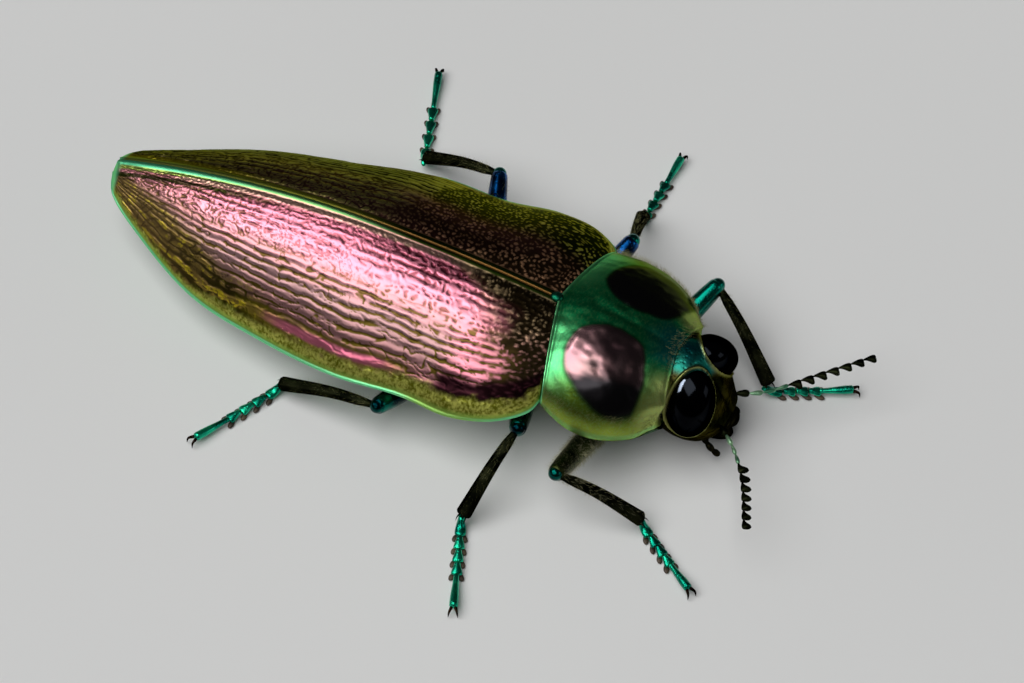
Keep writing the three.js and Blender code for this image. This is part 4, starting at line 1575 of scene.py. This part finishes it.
# ---- head
@dataclass
class Head(SubAssembly):
    """Head capsule with its eyes, feelers and mouthparts.

    Attributes:
        top: Height of the crown in millimetres.
        bottom: Height of the chin.
        width: Half width of the capsule.
        face: Mid-line of the face from crown to chin.
        eye_centre: Middle of the left eye.
        eye_long: Direction of the left eye's length.
        eye_out: Direction that the left eye bulges in.
        eye_radii: Half sizes of an eye: long, out and forward.
    """

    SEED = 3

    top: float = 11.25
    bottom: float = 2.45
    width: float = 4.3
    face: tuple[Point, ...] = (
        (12.5, 0.0, 11.25), (13.9, 0.0, 9.9), (15.6, 0.0, 7.0), (16.5, 0.0, 4.3), (15.9, 0.0, 2.45),
    )
    eye_centre: Point = (13.35, 2.75, 8.05)
    eye_long: Point = (0.11, 0.542, -0.833)
    eye_out: Point = (0.1, 0.83, 0.55)
    eye_radii: Point = (3.15, 1.85, 2.15)

    def eye_axes(self, side: Side) -> np.ndarray:
        """Finds the directions of an eye.

        Args:
            side: Side of the head.

        Returns:
            Its long, outward and forward directions.
        """
        mirror = np.array([1.0, side.value, 1.0])
        long = unit(np.array(self.eye_long) * mirror)
        forward = unit(np.cross(long, np.array(self.eye_out) * mirror))
        return np.array([long, np.cross(forward, long), forward])

    def eye_measure(self, points: np.ndarray, side: Side) -> np.ndarray:
        """Measures places against an eye.

        Args:
            points: Places in millimetres.
            side: Side of the head.

        Returns:
            Distances from the eye's centre as multiples of its own size.
        """
        centre = np.array(self.eye_centre) * [1.0, side.value, 1.0]
        local = (points - centre) @ self.eye_axes(side).T
        return np.linalg.norm(local / np.array(self.eye_radii), axis=-1)

    def capsule(self) -> Piece:
        """Makes the head's shell with raised orbits and a furrow down the face.

        Returns:
            The shell.
        """
        marks: dict[str, np.ndarray] = {}
        profile = Path(self.face).at(np.linspace(0, 1, 200))
        grain = Grain(self.SEED)

        def surface(around: np.ndarray, along: np.ndarray) -> np.ndarray:
            """Lays level rings from the chin to the crown.

            Args:
                around: Shares around.
                along: Shares from the chin to the crown.

            Returns:
                The points.
            """
            z = self.bottom + (self.top - self.bottom) * (1 - np.cos(np.pi * along)) / 2
            front = np.interp(z, profile[::-1, 2], profile[::-1, 0])
            rear = 12.0 - 3.2 * np.sqrt(np.clip(1 - ((z - 6.5) / 4.85) ** 2, 0, 1))
            half = self.width * np.sqrt(np.clip(1 - ((z - 6.2) / 5.1) ** 2, 0, 1))
            closing = rounded(along, 0.12, 0.12)
            angle = 2 * np.pi * around

            def squared(value: np.ndarray) -> np.ndarray:
                """Squared-off circle."""
                return np.sign(value) * np.abs(value) ** (2 / 2.2)

            x = (front + rear) / 2 + (front - rear) / 2 * squared(np.cos(angle)) * closing
            y = half * squared(np.sin(angle)) * closing
            points = np.stack([x, y, z], -1)
            forward = smooth(x, 12.5, 14.5)
            furrow = bell(y, 0.0, 0.28) * bell(z, 8.0, 2.6) * forward
            points[..., 0] -= 0.28 * furrow + 0.10 * np.abs(grain.at(y * 2.2, z * 2.2)) * forward
            ledge = bell(z, 4.9, 0.35) * forward * (1 - smooth(np.abs(y), 1.6, 2.4))
            points[..., 0] += 0.22 * ledge
            measure = np.minimum(*(self.eye_measure(points, side) for side in Side))
            orbit = bell(measure, 1.065, 0.05)
            outward = points - np.array([12.6, 0.0, 7.2])
            outward /= np.linalg.norm(outward, axis=-1, keepdims=True)
            points += outward * (0.26 * orbit)[..., None]
            crown = smooth(z, 8.9, 9.9) * (1 - smooth(np.abs(y), 1.5, 2.3))
            marks.update(crown=crown, orbit=orbit * smooth(measure, 1.0, 1.05))
            return points

        return HEAD.dress(self.bench.loft("head_capsule", 190, 150, surface, marks), "head")

    def eye(self, side: Side) -> Piece:
        """Makes one bulging eye.

        Args:
            side: Side of the head.

        Returns:
            The eye.
        """
        centre = np.array(self.eye_centre) * [1.0, side.value, 1.0]
        piece = self.bench.ball(
            f"eye_{side.word}_lens", centre, self.eye_radii, self.eye_axes(side), 56, 36, 0.96
        )
        return EYE.dress(piece, f"eye_{side.word}")

    def mouth(self) -> list[Piece]:
        """Makes the lip, jaws and palps.

        Returns:
            The five pieces.
        """
        made = [
            JAW.dress(self.bench.ball("labrum_lip", (16.55, 0, 3.95), (0.55, 1.25, 0.5)), "labrum")
        ]
        for side in Side:
            sign = side.value
            jaw = Path([(15.0, 1.25 * sign, 3.0), (16.3, 0.95 * sign, 2.9), (16.75, 0.2 * sign, 2.3)])
            horn = self.bench.tube(
                f"mandible_{side.word}_jaw", jaw, 20, 16,
                lambda t: tuple(girth * np.sqrt(np.clip(1 - t**2.2, 0, 1)) for girth in (0.85, 0.8)),
            )
            made.append(JAW.dress(horn, f"mandible_{side.word}"))
            line = Path([(14.6, 1.9 * sign, 2.5), (15.8, 2.5 * sign, 1.9), (16.6, 2.4 * sign, 1.2)])
            beads = self.bench.tube(
                f"palp_{side.word}_feeler", line, 36, 10,
                lambda t: (self.beaded(t), self.beaded(t)),
            )
            made.append(JAW.dress(beads, f"palp_{side.word}"))
        return made

    @staticmethod
    def beaded(t: np.ndarray) -> np.ndarray:
        """Radius of a palp of three joints."""
        return (0.2 + 0.11 * np.abs(np.sin(3 * np.pi * t)) ** 0.7) * bulged(t, 12)

    def build(self) -> list[Piece]:
        """Makes the head's pieces.

        Returns:
            The capsule, eyes, mouthparts and feelers.
        """
        made = [self.capsule(), *(self.eye(side) for side in Side), *self.mouth()]
        made += [piece for side in Side for piece in Antenna(self.bench, side).build()]
        return made


@dataclass
class Antenna(SubAssembly):
    """Feeler of eleven joints: a beaded stalk and a saw of flat teeth.

    Attributes:
        side: Side of the head.
        joints: Number of joints.
        stalk: Joints before the first tooth.
        bead_girths: Half width of each joint of the stalk in millimetres.
        tooth_girth: Half width of a toothed joint beside its tooth.
        tooth_height: Half height of a toothed joint.
        lines: Middle line of each feeler in millimetres.
    """

    side: Side
    joints: int = 11
    stalk: int = 4
    bead_girths: tuple[float, ...] = (0.34, 0.24, 0.19, 0.19)
    tooth_girth: float = 0.2
    tooth_height: float = 0.16
    lines: dict[Side, tuple[Point, ...]] = field(
        default_factory=lambda: {
            Side.RIGHT: ((16.1, -1.9, 5.1), (18.0, -3.6, 5.0), (19.9, -6.5, 5.4), (22.0, -11.6, 6.3)),
            Side.LEFT: ((16.1, 1.8, 5.1), (18.4, 3.1, 5.0), (21.6, 6.2, 5.2), (26.1, 10.6, 5.5)),
        }
    )

    def joint(self, index: int) -> Piece:
        """Makes one joint, a bead or a tooth.

        Args:
            index: Number of the joint from the head.

        Returns:
            The joint.
        """
        line = Path(self.lines[self.side])
        shares = np.linspace(index - 0.04, index + 1.03, 5) / self.joints
        path = Path(line.even(np.clip(shares, 0, 1)))
        toothed = index >= self.stalk
        girth = self.tooth_girth if toothed else self.bead_girths[index]

        sizes = np.array([[girth], [self.tooth_height if toothed else girth]])

        def section(t: np.ndarray) -> Pair:
            """Half width and half height, narrow at the base and widest near the end."""
            return tuple(sizes * (0.5 + 0.5 * smooth(t, 0.0, 0.7)) * bulged(t, 5))

        def lobes(angle: np.ndarray, t: np.ndarray) -> np.ndarray:
            """Pulls one side out into a tooth, less far towards the feeler's end."""
            out = np.maximum(0.0, np.cos(angle) * self.side.value) ** 1.5
            return 1.0 + (3.6 - 0.13 * index) * out * (smooth(t, 0.1, 0.82) * (1 - smooth(t, 0.86, 1.0)))

        shaped = lobes if toothed else None
        return self.bench.tube(f"joint_{index}", path, 24, 18, section, lobes=shaped)

    def build(self) -> list[Piece]:
        """Makes the stalk and the saw.

        Returns:
            The saw, with the feeler's root, and the beads of the stalk.
        """
        parts = [self.joint(index) for index in range(self.joints)]
        word = self.side.word
        saw = self.bench.join(f"antenna_{word}_saw", [parts[0], *parts[self.stalk :]])
        beads = self.bench.join(f"antenna_{word}_beads", parts[1 : self.stalk])
        return [SAW.dress(saw, f"antenna_{word}"), BEAD.dress(beads)]


# ---- underside
@dataclass
class Underside(SubAssembly):
    """Plates below the body: abdomen, thorax and prosternum.

    Attributes:
        wing: Shape of the roof over the abdomen and the thorax.
        shield: Shape of the roof over the prosternum.
        inset: Gap in millimetres between the roof and the wing cases' outside.
        depth: Height of the mid-line at the waist.
        waist: Place along the body where the belly is lowest.
        tail: Rear end of the belly.
        tail_height: Height of the mid-line at the tail.
        seams: Places where the abdomen's rings meet.
        columns: Steps around each plate.
    """

    PLATE_SEED, KEEL_SEED = 21, 22

    wing: WingShape = field(default_factory=WingShape)
    shield: ShieldShape = field(default_factory=ShieldShape)
    inset: float = 0.92
    depth: float = 1.8
    waist: float = -14.0
    tail: float = -43.2
    tail_height: float = 4.5
    seams: tuple[float, ...] = (-20.3, -25.6, -30.6, -35.6)
    columns: int = 96

    def belly(self, x: np.ndarray) -> np.ndarray:
        """Finds the height of the mid-line below the body.

        Args:
            x: Places along the body.

        Returns:
            Heights in millimetres.
        """
        rear = np.clip((self.waist - x) / (self.waist - self.tail), 0, 1)
        front = np.clip((x - self.waist) / (-0.4 - self.waist), 0, 1)
        return self.depth + (self.tail_height - self.depth) * rear**1.7 + 0.35 * front**2

    def plate(
        self, name: str, node: str, span: tuple[float, float], rows: int
    ) -> Piece:
        """Makes one plate under the wing cases, with the steps of its rings.

        Args:
            name: Piece's name.
            node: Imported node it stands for.
            span: Shares of the wing edge's knots where it starts and ends.
            rows: Steps along.

        Returns:
            The plate.
        """
        grain = Grain(self.PLATE_SEED)

        def surface(around: np.ndarray, along: np.ndarray) -> np.ndarray:
            """Runs over the roof from right to left, then back along the belly.

            Args:
                around: Shares around.
                along: Shares from the rear to the front.

            Returns:
                The points.
            """
            t = span[0] + (span[1] - span[0]) * along
            roofed, v = round_trip(around)
            roof, edge, seam = (
                self.wing.point(t, u, self.inset) for u in (np.abs(v), np.ones_like(t), np.zeros_like(t))
            )
            x = seam[..., 0] + 0.3 * (edge[..., 0] - seam[..., 0])
            y = roof[..., 1] * np.sign(v)
            rim = edge[..., 2] - 0.47
            arch = np.maximum(0, 1 - np.abs(v) ** 1.5) ** 0.95
            low = rim - (rim - self.belly(x)) * arch
            step = np.zeros_like(x)
            for place in self.seams:
                bent = place + 0.9 * (1 - np.abs(v) ** 2)
                step += 0.16 * smooth(bent - x, -0.12, 0.12) * (1 - smooth(bent - x, 0.3, 4.5))
                step += 0.14 * bell(x, bent, 0.10)
            low += (step + 0.05 * grain.at(x * 1.6, y * 1.6)) * smooth(arch, 0.0, 0.15)
            z = np.where(roofed, roof[..., 2] - 0.12, low)
            return np.stack([x, y, z], -1)

        return UNDERSIDE.dress(self.bench.loft(name, self.columns, rows, surface), node)

    def prosternum(self) -> Piece:
        """Makes the plate below the pronotum, keeled between the front legs.

        Returns:
            The plate.
        """
        grain = Grain(self.KEEL_SEED)

        def surface(around: np.ndarray, s: np.ndarray) -> np.ndarray:
            """Runs along the flat top from right to left, then back along the keeled belly.

            Args:
                around: Shares around.
                s: Shares from the rear to the front.

            Returns:
                The points.
            """
            topped, v = round_trip(around)
            edge = self.shield.edge.at(s)
            points = self.shield.point(s, v)
            points[..., 1] *= 1 - 0.35 / edge[..., 1]
            top = edge[..., 2] - self.shield.RIM + 0.05
            keel = 2.6 + s * s
            arch = np.maximum(0, 1 - np.abs(v) ** 1.8) ** 0.8
            low = top - 0.3 - (top - 0.3 - keel) * arch
            low += 0.06 * grain.at(points[..., 0] * 1.5, points[..., 1] * 1.5)
            points[..., 2] = np.where(topped, top, low)
            return points

        piece = self.bench.loft("prosternum_plate", self.columns, 50, surface)
        return UNDERSIDE.dress(piece, "prosternum")

    def build(self) -> list[Piece]:
        """Makes the three plates.

        Returns:
            Abdomen, thorax and prosternum.
        """
        return [
            self.plate("abdomen_plates", "abdomen", (0.07, 0.545), 200),
            self.plate("thorax_plates", "thorax", (0.545, 0.84), 80),
            self.prosternum(),
        ]


# ---- legs
@dataclass
class Leg(SubAssembly):
    """One leg: hip, thigh, shin with hairs and spurs, and a foot of five joints with two claws.

    Attributes:
        name: Pair and side of the leg.
        hip: Middle of the hip in millimetres.
        knee: Middle of the knee.
        ankle: Middle of the ankle.
        toe: Place on the floor just past the claws' root.
        skin: Finish of the thigh.
        claw_length: Sets how far a claw reaches ahead, in millimetres.
        claw_spread: Reach of a claw aside.
    """

    HIP_RADII = (1.35, 1.75, 1.05)
    KNEE_RADII = (0.66, 0.66, 0.66)
    PAD_RADII = (0.52, 0.27, 0.17)
    LOBED_JOINTS = 4
    LOBED_SHARE = 0.6  # share of the foot's length that the lobed joints take
    SHIN_HAIRS, THIGH_HAIRS, WOOL_HAIRS = 520, 500, 3400
    HAIR_GIRTH, WOOL_GIRTH = 0.008, 0.013

    name: str
    hip: Point
    knee: Point
    ankle: Point
    toe: tuple[float, float]
    skin: ShellFinish = LEG
    claw_length: float = 0.85
    claw_spread: float = 0.42

    @property
    def woolly(self) -> bool:
        """Whether dense pale wool covers the thigh."""
        return self.skin is OLIVE_LEG

    def thigh(self) -> Piece:
        """Makes the spindle-shaped thigh, which starts inside the hip and ends inside the knee.

        Returns:
            The thigh.
        """
        hip, knee = np.array(self.hip), np.array(self.knee)
        way = unit(knee - hip)

        def section(t: np.ndarray) -> Pair:
            """Half width and half height, swollen past the hip and slim at the knee."""
            radius = 0.66 + 0.44 * np.sin(np.pi * t**0.9) + 0.10 * smooth(t, 0.6, 0.95)
            return radius * rounded(t, 0.05, 0.045) * 0.94, radius * rounded(t, 0.05, 0.045) * 1.04

        path = Path([hip + 0.5 * way, (hip + knee) / 2, knee + 0.35 * way])
        return self.bench.tube(f"{self.name}_thigh", path, 60, 28, section)

    def shin_path(self) -> Path:
        """Finds the middle line of the shin, bowed up.

        Returns:
            The line.
        """
        knee, ankle = np.array(self.knee), np.array(self.ankle)
        way = unit(ankle - knee)
        start, end = knee + 0.1 * way, ankle - 0.1 * way
        bow = start + 0.45 * (end - start) + [0.0, 0.0, 0.5]
        return Path([start, bow, end])

    def shin(self) -> Piece:
        """Makes the shin with lengthwise ridges and two spurs.

        Returns:
            The shin.
        """
        path = self.shin_path()

        def section(t: np.ndarray) -> Pair:
            """Half width and half height, slim at the knee and widest at the ankle."""
            radius = (0.30 + 0.09 * smooth(t, 0.03, 0.2) + 0.27 * t) * rounded(t, 0.03, 0.035)
            return radius * 1.08, radius * 0.92

        def ridges(angle: np.ndarray, t: np.ndarray) -> np.ndarray:
            """Shallow ridges along the shin."""
            return 1 + 0.05 * np.cos(5 * angle) * smooth(t, 0.1, 0.2)

        shaft = self.bench.tube(f"{self.name}_shaft", path, 60, 30, section, lobes=ridges)
        tip, before = path.even(np.array([0.97, 0.9]))
        way = unit(tip - before)
        across, over = squares(way)

        def spur() -> Piece:
            """Short thorn, bent outwards."""
            line = Path([(0, 0, 0), (0.5, 0.1, 0.02), (1.0, 0.06, -0.08)])
            return self.bench.tube("spur", line, 10, 8, lambda t: (0.1 * (1 - t), 0.1 * (1 - t)))

        spurs = [
            self.bench.copy(
                f"spur_{sign}", "spur", spur, tip + 0.3 * sign * across - [0, 0, 0.1],
                (way, across * sign, over),
            )
            for sign in (-1, 1)
        ]
        return self.bench.join(f"{self.name}_shin", [shaft, *spurs])

    def hairs(self) -> Piece:
        """Makes the pale hairs of the shin and the thigh, dense on a woolly thigh.

        Returns:
            The hairs.
        """
        draw = np.random.default_rng(sum(map(ord, self.name)))
        roots, ways, lengths = [], [], []
        thigh = Path([self.hip, (np.array(self.hip) + np.array(self.knee)) / 2, self.knee])
        beds = (
            (self.shin_path(), lambda share: 0.46 + 0.0 * share, self.SHIN_HAIRS, 0.42),
            (
                thigh, lambda share: 0.62 + 0.48 * np.sin(np.pi * share**0.8),
                self.WOOL_HAIRS if self.woolly else self.THIGH_HAIRS, 0.6,
            ),
        )
        for path, radius, number, long in beds:
            share = draw.uniform(0.08, 0.97, number)
            spine = path.even(share)
            way = path.even(np.clip(share + 0.02, 0, 1)) - path.even(np.clip(share - 0.02, 0, 1))
            way /= np.linalg.norm(way, axis=1, keepdims=True)
            across, over = squares(way)
            turn = draw.uniform(0, 2 * np.pi, number)
            out = across * np.cos(turn)[:, None] + over * np.sin(turn)[:, None]
            roots.append(spine + out * (radius(share) * 0.93)[:, None])
            ways.append(out * 0.8 + way * 0.7 + 0.25 * draw.normal(size=(number, 3)))
            lengths.append(long * draw.uniform(0.6, 1.3, number))
        return self.bench.hairs(
            f"{self.name}_hairs", np.vstack(roots), np.vstack(ways), np.concatenate(lengths),
            self.WOOL_GIRTH if self.woolly else self.HAIR_GIRTH,
        )

    def foot_frame(self) -> tuple[np.ndarray, np.ndarray, np.ndarray, float]:
        """Measures the foot along the floor.

        Returns:
            Its start, its forward and sideways directions, and its length to the claws' root.
        """
        start = np.array([self.ankle[0], self.ankle[1], 0.0])
        reach = np.array([self.toe[0], self.toe[1], 0.0]) - start
        along = unit(reach)
        length = float(np.linalg.norm(reach)) - 0.15
        return start, along, np.array([-along[1], along[0], 0.0]), length

    def lobed_joint(self, rise: float) -> Piece:
        """Makes a joint of the foot at the origin, one millimetre long and broad in front.

        Args:
            rise: Height of its rear end in millimetres.

        Returns:
            The joint.
        """

        def section(t: np.ndarray) -> Pair:
            """Half width and half height."""
            closed = rounded(t, 0.12, 0.14)
            return (0.28 + 0.22 * smooth(t, 0.1, 0.85)) * closed, 0.26 * closed

        line = Path([(0, 0, rise), (0.5, 0, 0.62), (1.0, 0, 0.50)])
        return self.bench.tube("lobed_joint", line, 22, 20, section)

    def pad(self) -> Piece:
        """Makes the soft flat lobe under a joint, pointed behind.

        Returns:
            The lobe, at the origin.
        """
        piece = self.bench.ball("pad", (0, 0, 0), self.PAD_RADII, segments=18, rings=10)
        points = (self.bench.corners(piece) - np.array(self.bench.offset)) / MM
        points[:, 1:] *= (0.62 + 0.38 * smooth(points[:, 0], -0.5, 0.2))[:, None]
        self.bench.settle(piece, points)
        return piece

    def claw(self) -> Piece:
        """Makes a hooked claw whose point comes down to the floor.

        Returns:
            The claw, at the origin.
        """
        long, out = self.claw_length, self.claw_spread
        hook = Path([(-0.2, 0.12, 0.8), (0.45 * long, 0.8 * out, 0.78), (0.66 * long, out, 0.1)])
        return self.bench.tube(
            "claw", hook, 18, 10, lambda t: (0.17 * (1 - t) ** 0.8, 0.19 * (1 - t) ** 0.8)
        )

    def last_joint(self, near: float, far: float) -> Piece:
        """Makes the long last joint of the foot, thickening to the claws.

        Args:
            near: Distance of its rear end along the foot in millimetres.
            far: Distance of its front end.

        Returns:
            The joint.
        """
        start, along, _, _ = self.foot_frame()
        shares = ((near, 0.6), (near + 0.5 * (far - near), 0.72), (far, 0.86))
        line = Path([start + along * reach + [0.0, 0.0, height] for reach, height in shares])

        def section(t: np.ndarray) -> Pair:
            """Half width and half height."""
            radius = (0.25 + 0.14 * smooth(t, 0.1, 0.8)) * rounded(t, 0.06, 0.08)
            return radius, radius

        return self.bench.tube("last_joint", line, 30, 18, section)

    def foot(self) -> list[Piece]:
        """Makes the foot's joints, its soft pads and its claws.

        Returns:
            The joints, the pads and the claws, each joined to one piece.
        """
        start, along, across, length = self.foot_frame()
        up = np.array([0.0, 0.0, 1.0])
        lobed = self.LOBED_SHARE * length
        step = lobed / self.LOBED_JOINTS
        joints = [self.last_joint(lobed - 0.1, length)]
        pads = []
        for index in range(self.LOBED_JOINTS):
            near, far = index * step + (0.1 if index else -0.5), (index + 1) * step + 0.08
            pattern, rise = ("lobed_joint", 0.66) if index else ("first_joint", 1.3)
            joints.append(
                self.bench.copy(
                    f"joint_{index}", pattern, partial(self.lobed_joint, rise),
                    start + along * near, (along * (far - near), across, up),
                )
            )
            for sign in (-1, 1):
                long = along * 0.88 + across * 0.42 * sign
                wide = across * 0.88 - along * 0.42 * sign
                centre = start + along * (far - 0.12) + across * 0.36 * sign + up * 0.17
                pads.append(
                    self.bench.copy(
                        f"pad_{index}_{sign}", "pad", self.pad, centre,
                        (unit(long), unit(wide), up),
                    )
                )
        claws = [
            self.bench.copy(
                f"claw_{sign}", "claw", self.claw, start + along * length,
                (along, across * sign, up),
            )
            for sign in (-1, 1)
        ]
        return [
            FOOT.dress(self.bench.join(f"{self.name}_tarsus", joints), f"{self.name}_foot"),
            PAD.dress(self.bench.join(f"{self.name}_pads", pads)),
            CLAW.dress(self.bench.join(f"{self.name}_claws", claws)),
        ]

    def build(self) -> list[Piece]:
        """Makes the leg's pieces.

        Returns:
            Hip, knee, thigh, shin, hairs and the foot's pieces.
        """
        hip = self.bench.copy(
            f"{self.name}_hip", "hip",
            lambda: self.bench.ball("hip", (0, 0, 0), self.HIP_RADII, power=0.95), self.hip,
        )
        knee = self.bench.copy(
            f"{self.name}_knee", "knee",
            lambda: self.bench.ball("knee", (0, 0, 0), self.KNEE_RADII), self.knee,
        )
        return [
            UNDERSIDE.dress(hip, f"{self.name}_coxa"),
            LEG.dress(knee),
            self.skin.dress(self.thigh(), f"{self.name}_femur"),
            SHIN.dress(self.shin(), f"{self.name}_tibia"),
            (WOOL if self.woolly else HAIR).dress(self.hairs()),
            *self.foot(),
        ]


LEGS = (
    ("front_right", (6.5, -2.6, 2.1), (5.1, -13.1, 6.0), (13.1, -11.7, 1.5), (19.3, -16.1), OLIVE_LEG),
    ("front_left", (6.5, 2.6, 2.1), (10.6, 11.1, 6.5), (18.1, 6.2, 1.5), (25.2, 9.6)),
    ("middle_right", (-1.8, -2.8, 1.9), (0.4, -10.6, 6.6), (-1.5, -18.1, 1.5), (1.5, -26.4)),
    ("middle_left", (-1.8, 2.8, 1.9), (1.9, 11.9, 7.2), (0.45, 19.0, 1.5), (1.0, 27.6), BLUE_LEG),
    ("hind_right", (-8.6, -3.0, 1.8), (-12.2, -12.6, 4.7), (-22.1, -12.2, 1.5), (-26.6, -20.4)),
    ("hind_left", (-8.6, 3.2, 1.8), (-12.6, 14.9, 5.5), (-21.0, 16.6, 1.5), (-24.3, 27.2), BLUE_LEG),
)


# ---- studio
@dataclass
class Studio:
    """Pale floor, soft lights and the camera.

    Attributes:
        eye_point: Camera's place in millimetres.
        azimuth: Degrees that it stands round from the beetle's right towards its head.
        elevation: Degrees that it looks down.
        roll: Degrees that it is turned about its own line of sight.
        focal_px: Focal length in picture points.
        frame_px: Picture's width in points.
        sensor: Sensor's width in millimetres.
        key_way: Direction of the main lamp and of the fill light.
    """

    eye_point: Point = (49.56, -142.34, 226.92)
    azimuth: float = 20.86
    elevation: float = 55.81
    roll: float = -3.51
    focal_px: float = 3000.0
    frame_px: float = 1024.0
    sensor: float = 36.0
    key_way: Point = (-0.28, -0.36, 0.88)

    def camera(self, bench: Bench) -> None:
        """Places the camera.

        Args:
            bench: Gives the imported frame's offset.
        """
        a, e, r = (math.radians(value) for value in (self.azimuth, self.elevation, self.roll))
        back = Vector((math.sin(a) * math.cos(e), -math.cos(a) * math.cos(e), math.sin(e)))
        right = (-back).cross(Vector((0, 0, 1))).normalized()
        down = (-back).cross(right)
        across = math.cos(r) * right + math.sin(r) * down
        lower = -math.sin(r) * right + math.cos(r) * down
        data = bpy.data.cameras.new("camera")
        data.sensor_width = self.sensor
        data.lens = self.focal_px / self.frame_px * self.sensor
        data.clip_start, data.clip_end = 0.005, 20.0
        camera = bpy.data.objects.new("camera", data)
        turn = Matrix((across, -lower, back)).transposed().to_4x4()
        place = Vector(self.eye_point) * MM + bench.offset
        camera.matrix_world = Matrix.Translation(place) @ turn
        bpy.context.scene.collection.objects.link(camera)
        bpy.context.scene.camera = camera

    @staticmethod
    def floor() -> None:
        """Lays the pale floor."""
        bpy.ops.mesh.primitive_plane_add(size=3.0)
        floor = bpy.context.object
        floor.name = "floor"
        paint = Paint("pale_floor")
        drift = paint.noise(6.0, 2.0)
        colour = paint.mix(drift.ease(0.3, 0.7), (0.80, 0.80, 0.79), (0.84, 0.84, 0.83))
        floor.data.materials.append(paint.finish(Base_Color=colour, Roughness=0.9))

    @staticmethod
    def lamp(
        name: str,
        way: Sequence[float],
        along: Sequence[float],
        size: tuple[float, float],
        power: float,
        distance: float = 0.42,
    ) -> Piece:
        """Hangs a soft box that faces the beetle.

        Args:
            name: Light's name.
            way: Direction from the beetle to the light.
            along: Direction of the light's long side.
            size: Length and width in metres.
            power: Watts.
            distance: Distance in metres.

        Returns:
            The light.
        """
        data = bpy.data.lights.new(name, "AREA")
        data.shape = "RECTANGLE"
        data.size, data.size_y = size
        data.energy = power
        lamp = bpy.data.objects.new(name, data)
        lamp.visible_camera = lamp.visible_diffuse = False
        back = Vector(way).normalized()
        short = back.cross(Vector(along)).normalized()
        turn = Matrix((short.cross(back), short, back)).transposed().to_4x4()
        lamp.matrix_world = Matrix.Translation(back * distance) @ turn
        bpy.context.scene.collection.objects.link(lamp)
        return lamp

    def catch(self, eyes: Sequence[Piece]) -> None:
        """Hangs a lamp that shows in the eyes alone.

        Args:
            eyes: The two eyes.
        """
        lamp = self.lamp("catch", (-0.88, -0.2, 0.44), (0.1, 0.92, 0.38), (0.3, 0.24), 24.0)
        lit = bpy.data.collections.new("eyes")
        for eye in eyes:
            lit.objects.link(eye)
        lamp.light_linking.receiver_collection = lit

    def build(self, bench: Bench) -> None:
        """Sets up the studio.

        Args:
            bench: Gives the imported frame's offset.
        """
        self.camera(bench)
        self.floor()
        self.lamp("key", self.key_way, (0.79, -0.61, 0.0), (0.46, 0.28), 1.3)
        self.lamp("glint", (-0.74, -0.28, 0.6), (0.3, 0.1, 0.5), (0.05, 0.016), 0.16)
        self.lamp("front", (0.9, 0.1, 0.45), (0.0, 1.0, 0.0), (0.3, 0.2), 0.25, 0.6)
        self.sun()
        self.room()
        bpy.context.scene.view_settings.view_transform = "Standard"

    def sun(self) -> None:
        """Lights the floor evenly, with a soft shadow, and adds no reflection."""
        data = bpy.data.lights.new("fill", "SUN")
        data.energy, data.angle = 2.3, math.radians(60.0)
        lamp = bpy.data.objects.new("fill", data)
        lamp.visible_glossy = False
        lamp.rotation_euler = Vector(self.key_way).to_track_quat("Z", "Y").to_euler()
        bpy.context.scene.collection.objects.link(lamp)

    @staticmethod
    def room() -> None:
        """Surrounds the floor with a pale backdrop that reflects only dimly."""
        world = bpy.data.worlds.new("studio")
        world.use_nodes = True
        nodes, links = world.node_tree.nodes, world.node_tree.links
        dim = nodes["Background"]
        dim.inputs[0].default_value, dim.inputs[1].default_value = (0.8, 0.85, 0.9, 1.0), 0.045
        pale = nodes.new("ShaderNodeBackground")
        pale.inputs[0].default_value, pale.inputs[1].default_value = (0.80, 0.80, 0.79, 1.0), 0.66
        seen, mix = nodes.new("ShaderNodeLightPath"), nodes.new("ShaderNodeMixShader")
        links.new(seen.outputs["Is Camera Ray"], mix.inputs[0])
        links.new(dim.outputs[0], mix.inputs[1])
        links.new(pale.outputs[0], mix.inputs[2])
        links.new(mix.outputs[0], nodes["World Output"].inputs[0])
        bpy.context.scene.world = world


def main() -> None:
    """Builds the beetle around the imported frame."""
    logging.basicConfig(level=logging.INFO, format="%(name)s %(message)s")
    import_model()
    bench = Bench.from_frame()
    studio = Studio()
    studio.build(bench)
    for side in Side:
        WingCase(bench, side).build()
    Scutellum(bench).build()
    Pronotum(bench).build()
    studio.catch([piece for piece in Head(bench).build() if piece.name.startswith("eye_")])
    Underside(bench).build()
    for leg in LEGS:
        Leg(bench, *leg).build()
    bench.put_away()


if __name__ == "__main__":
    main()
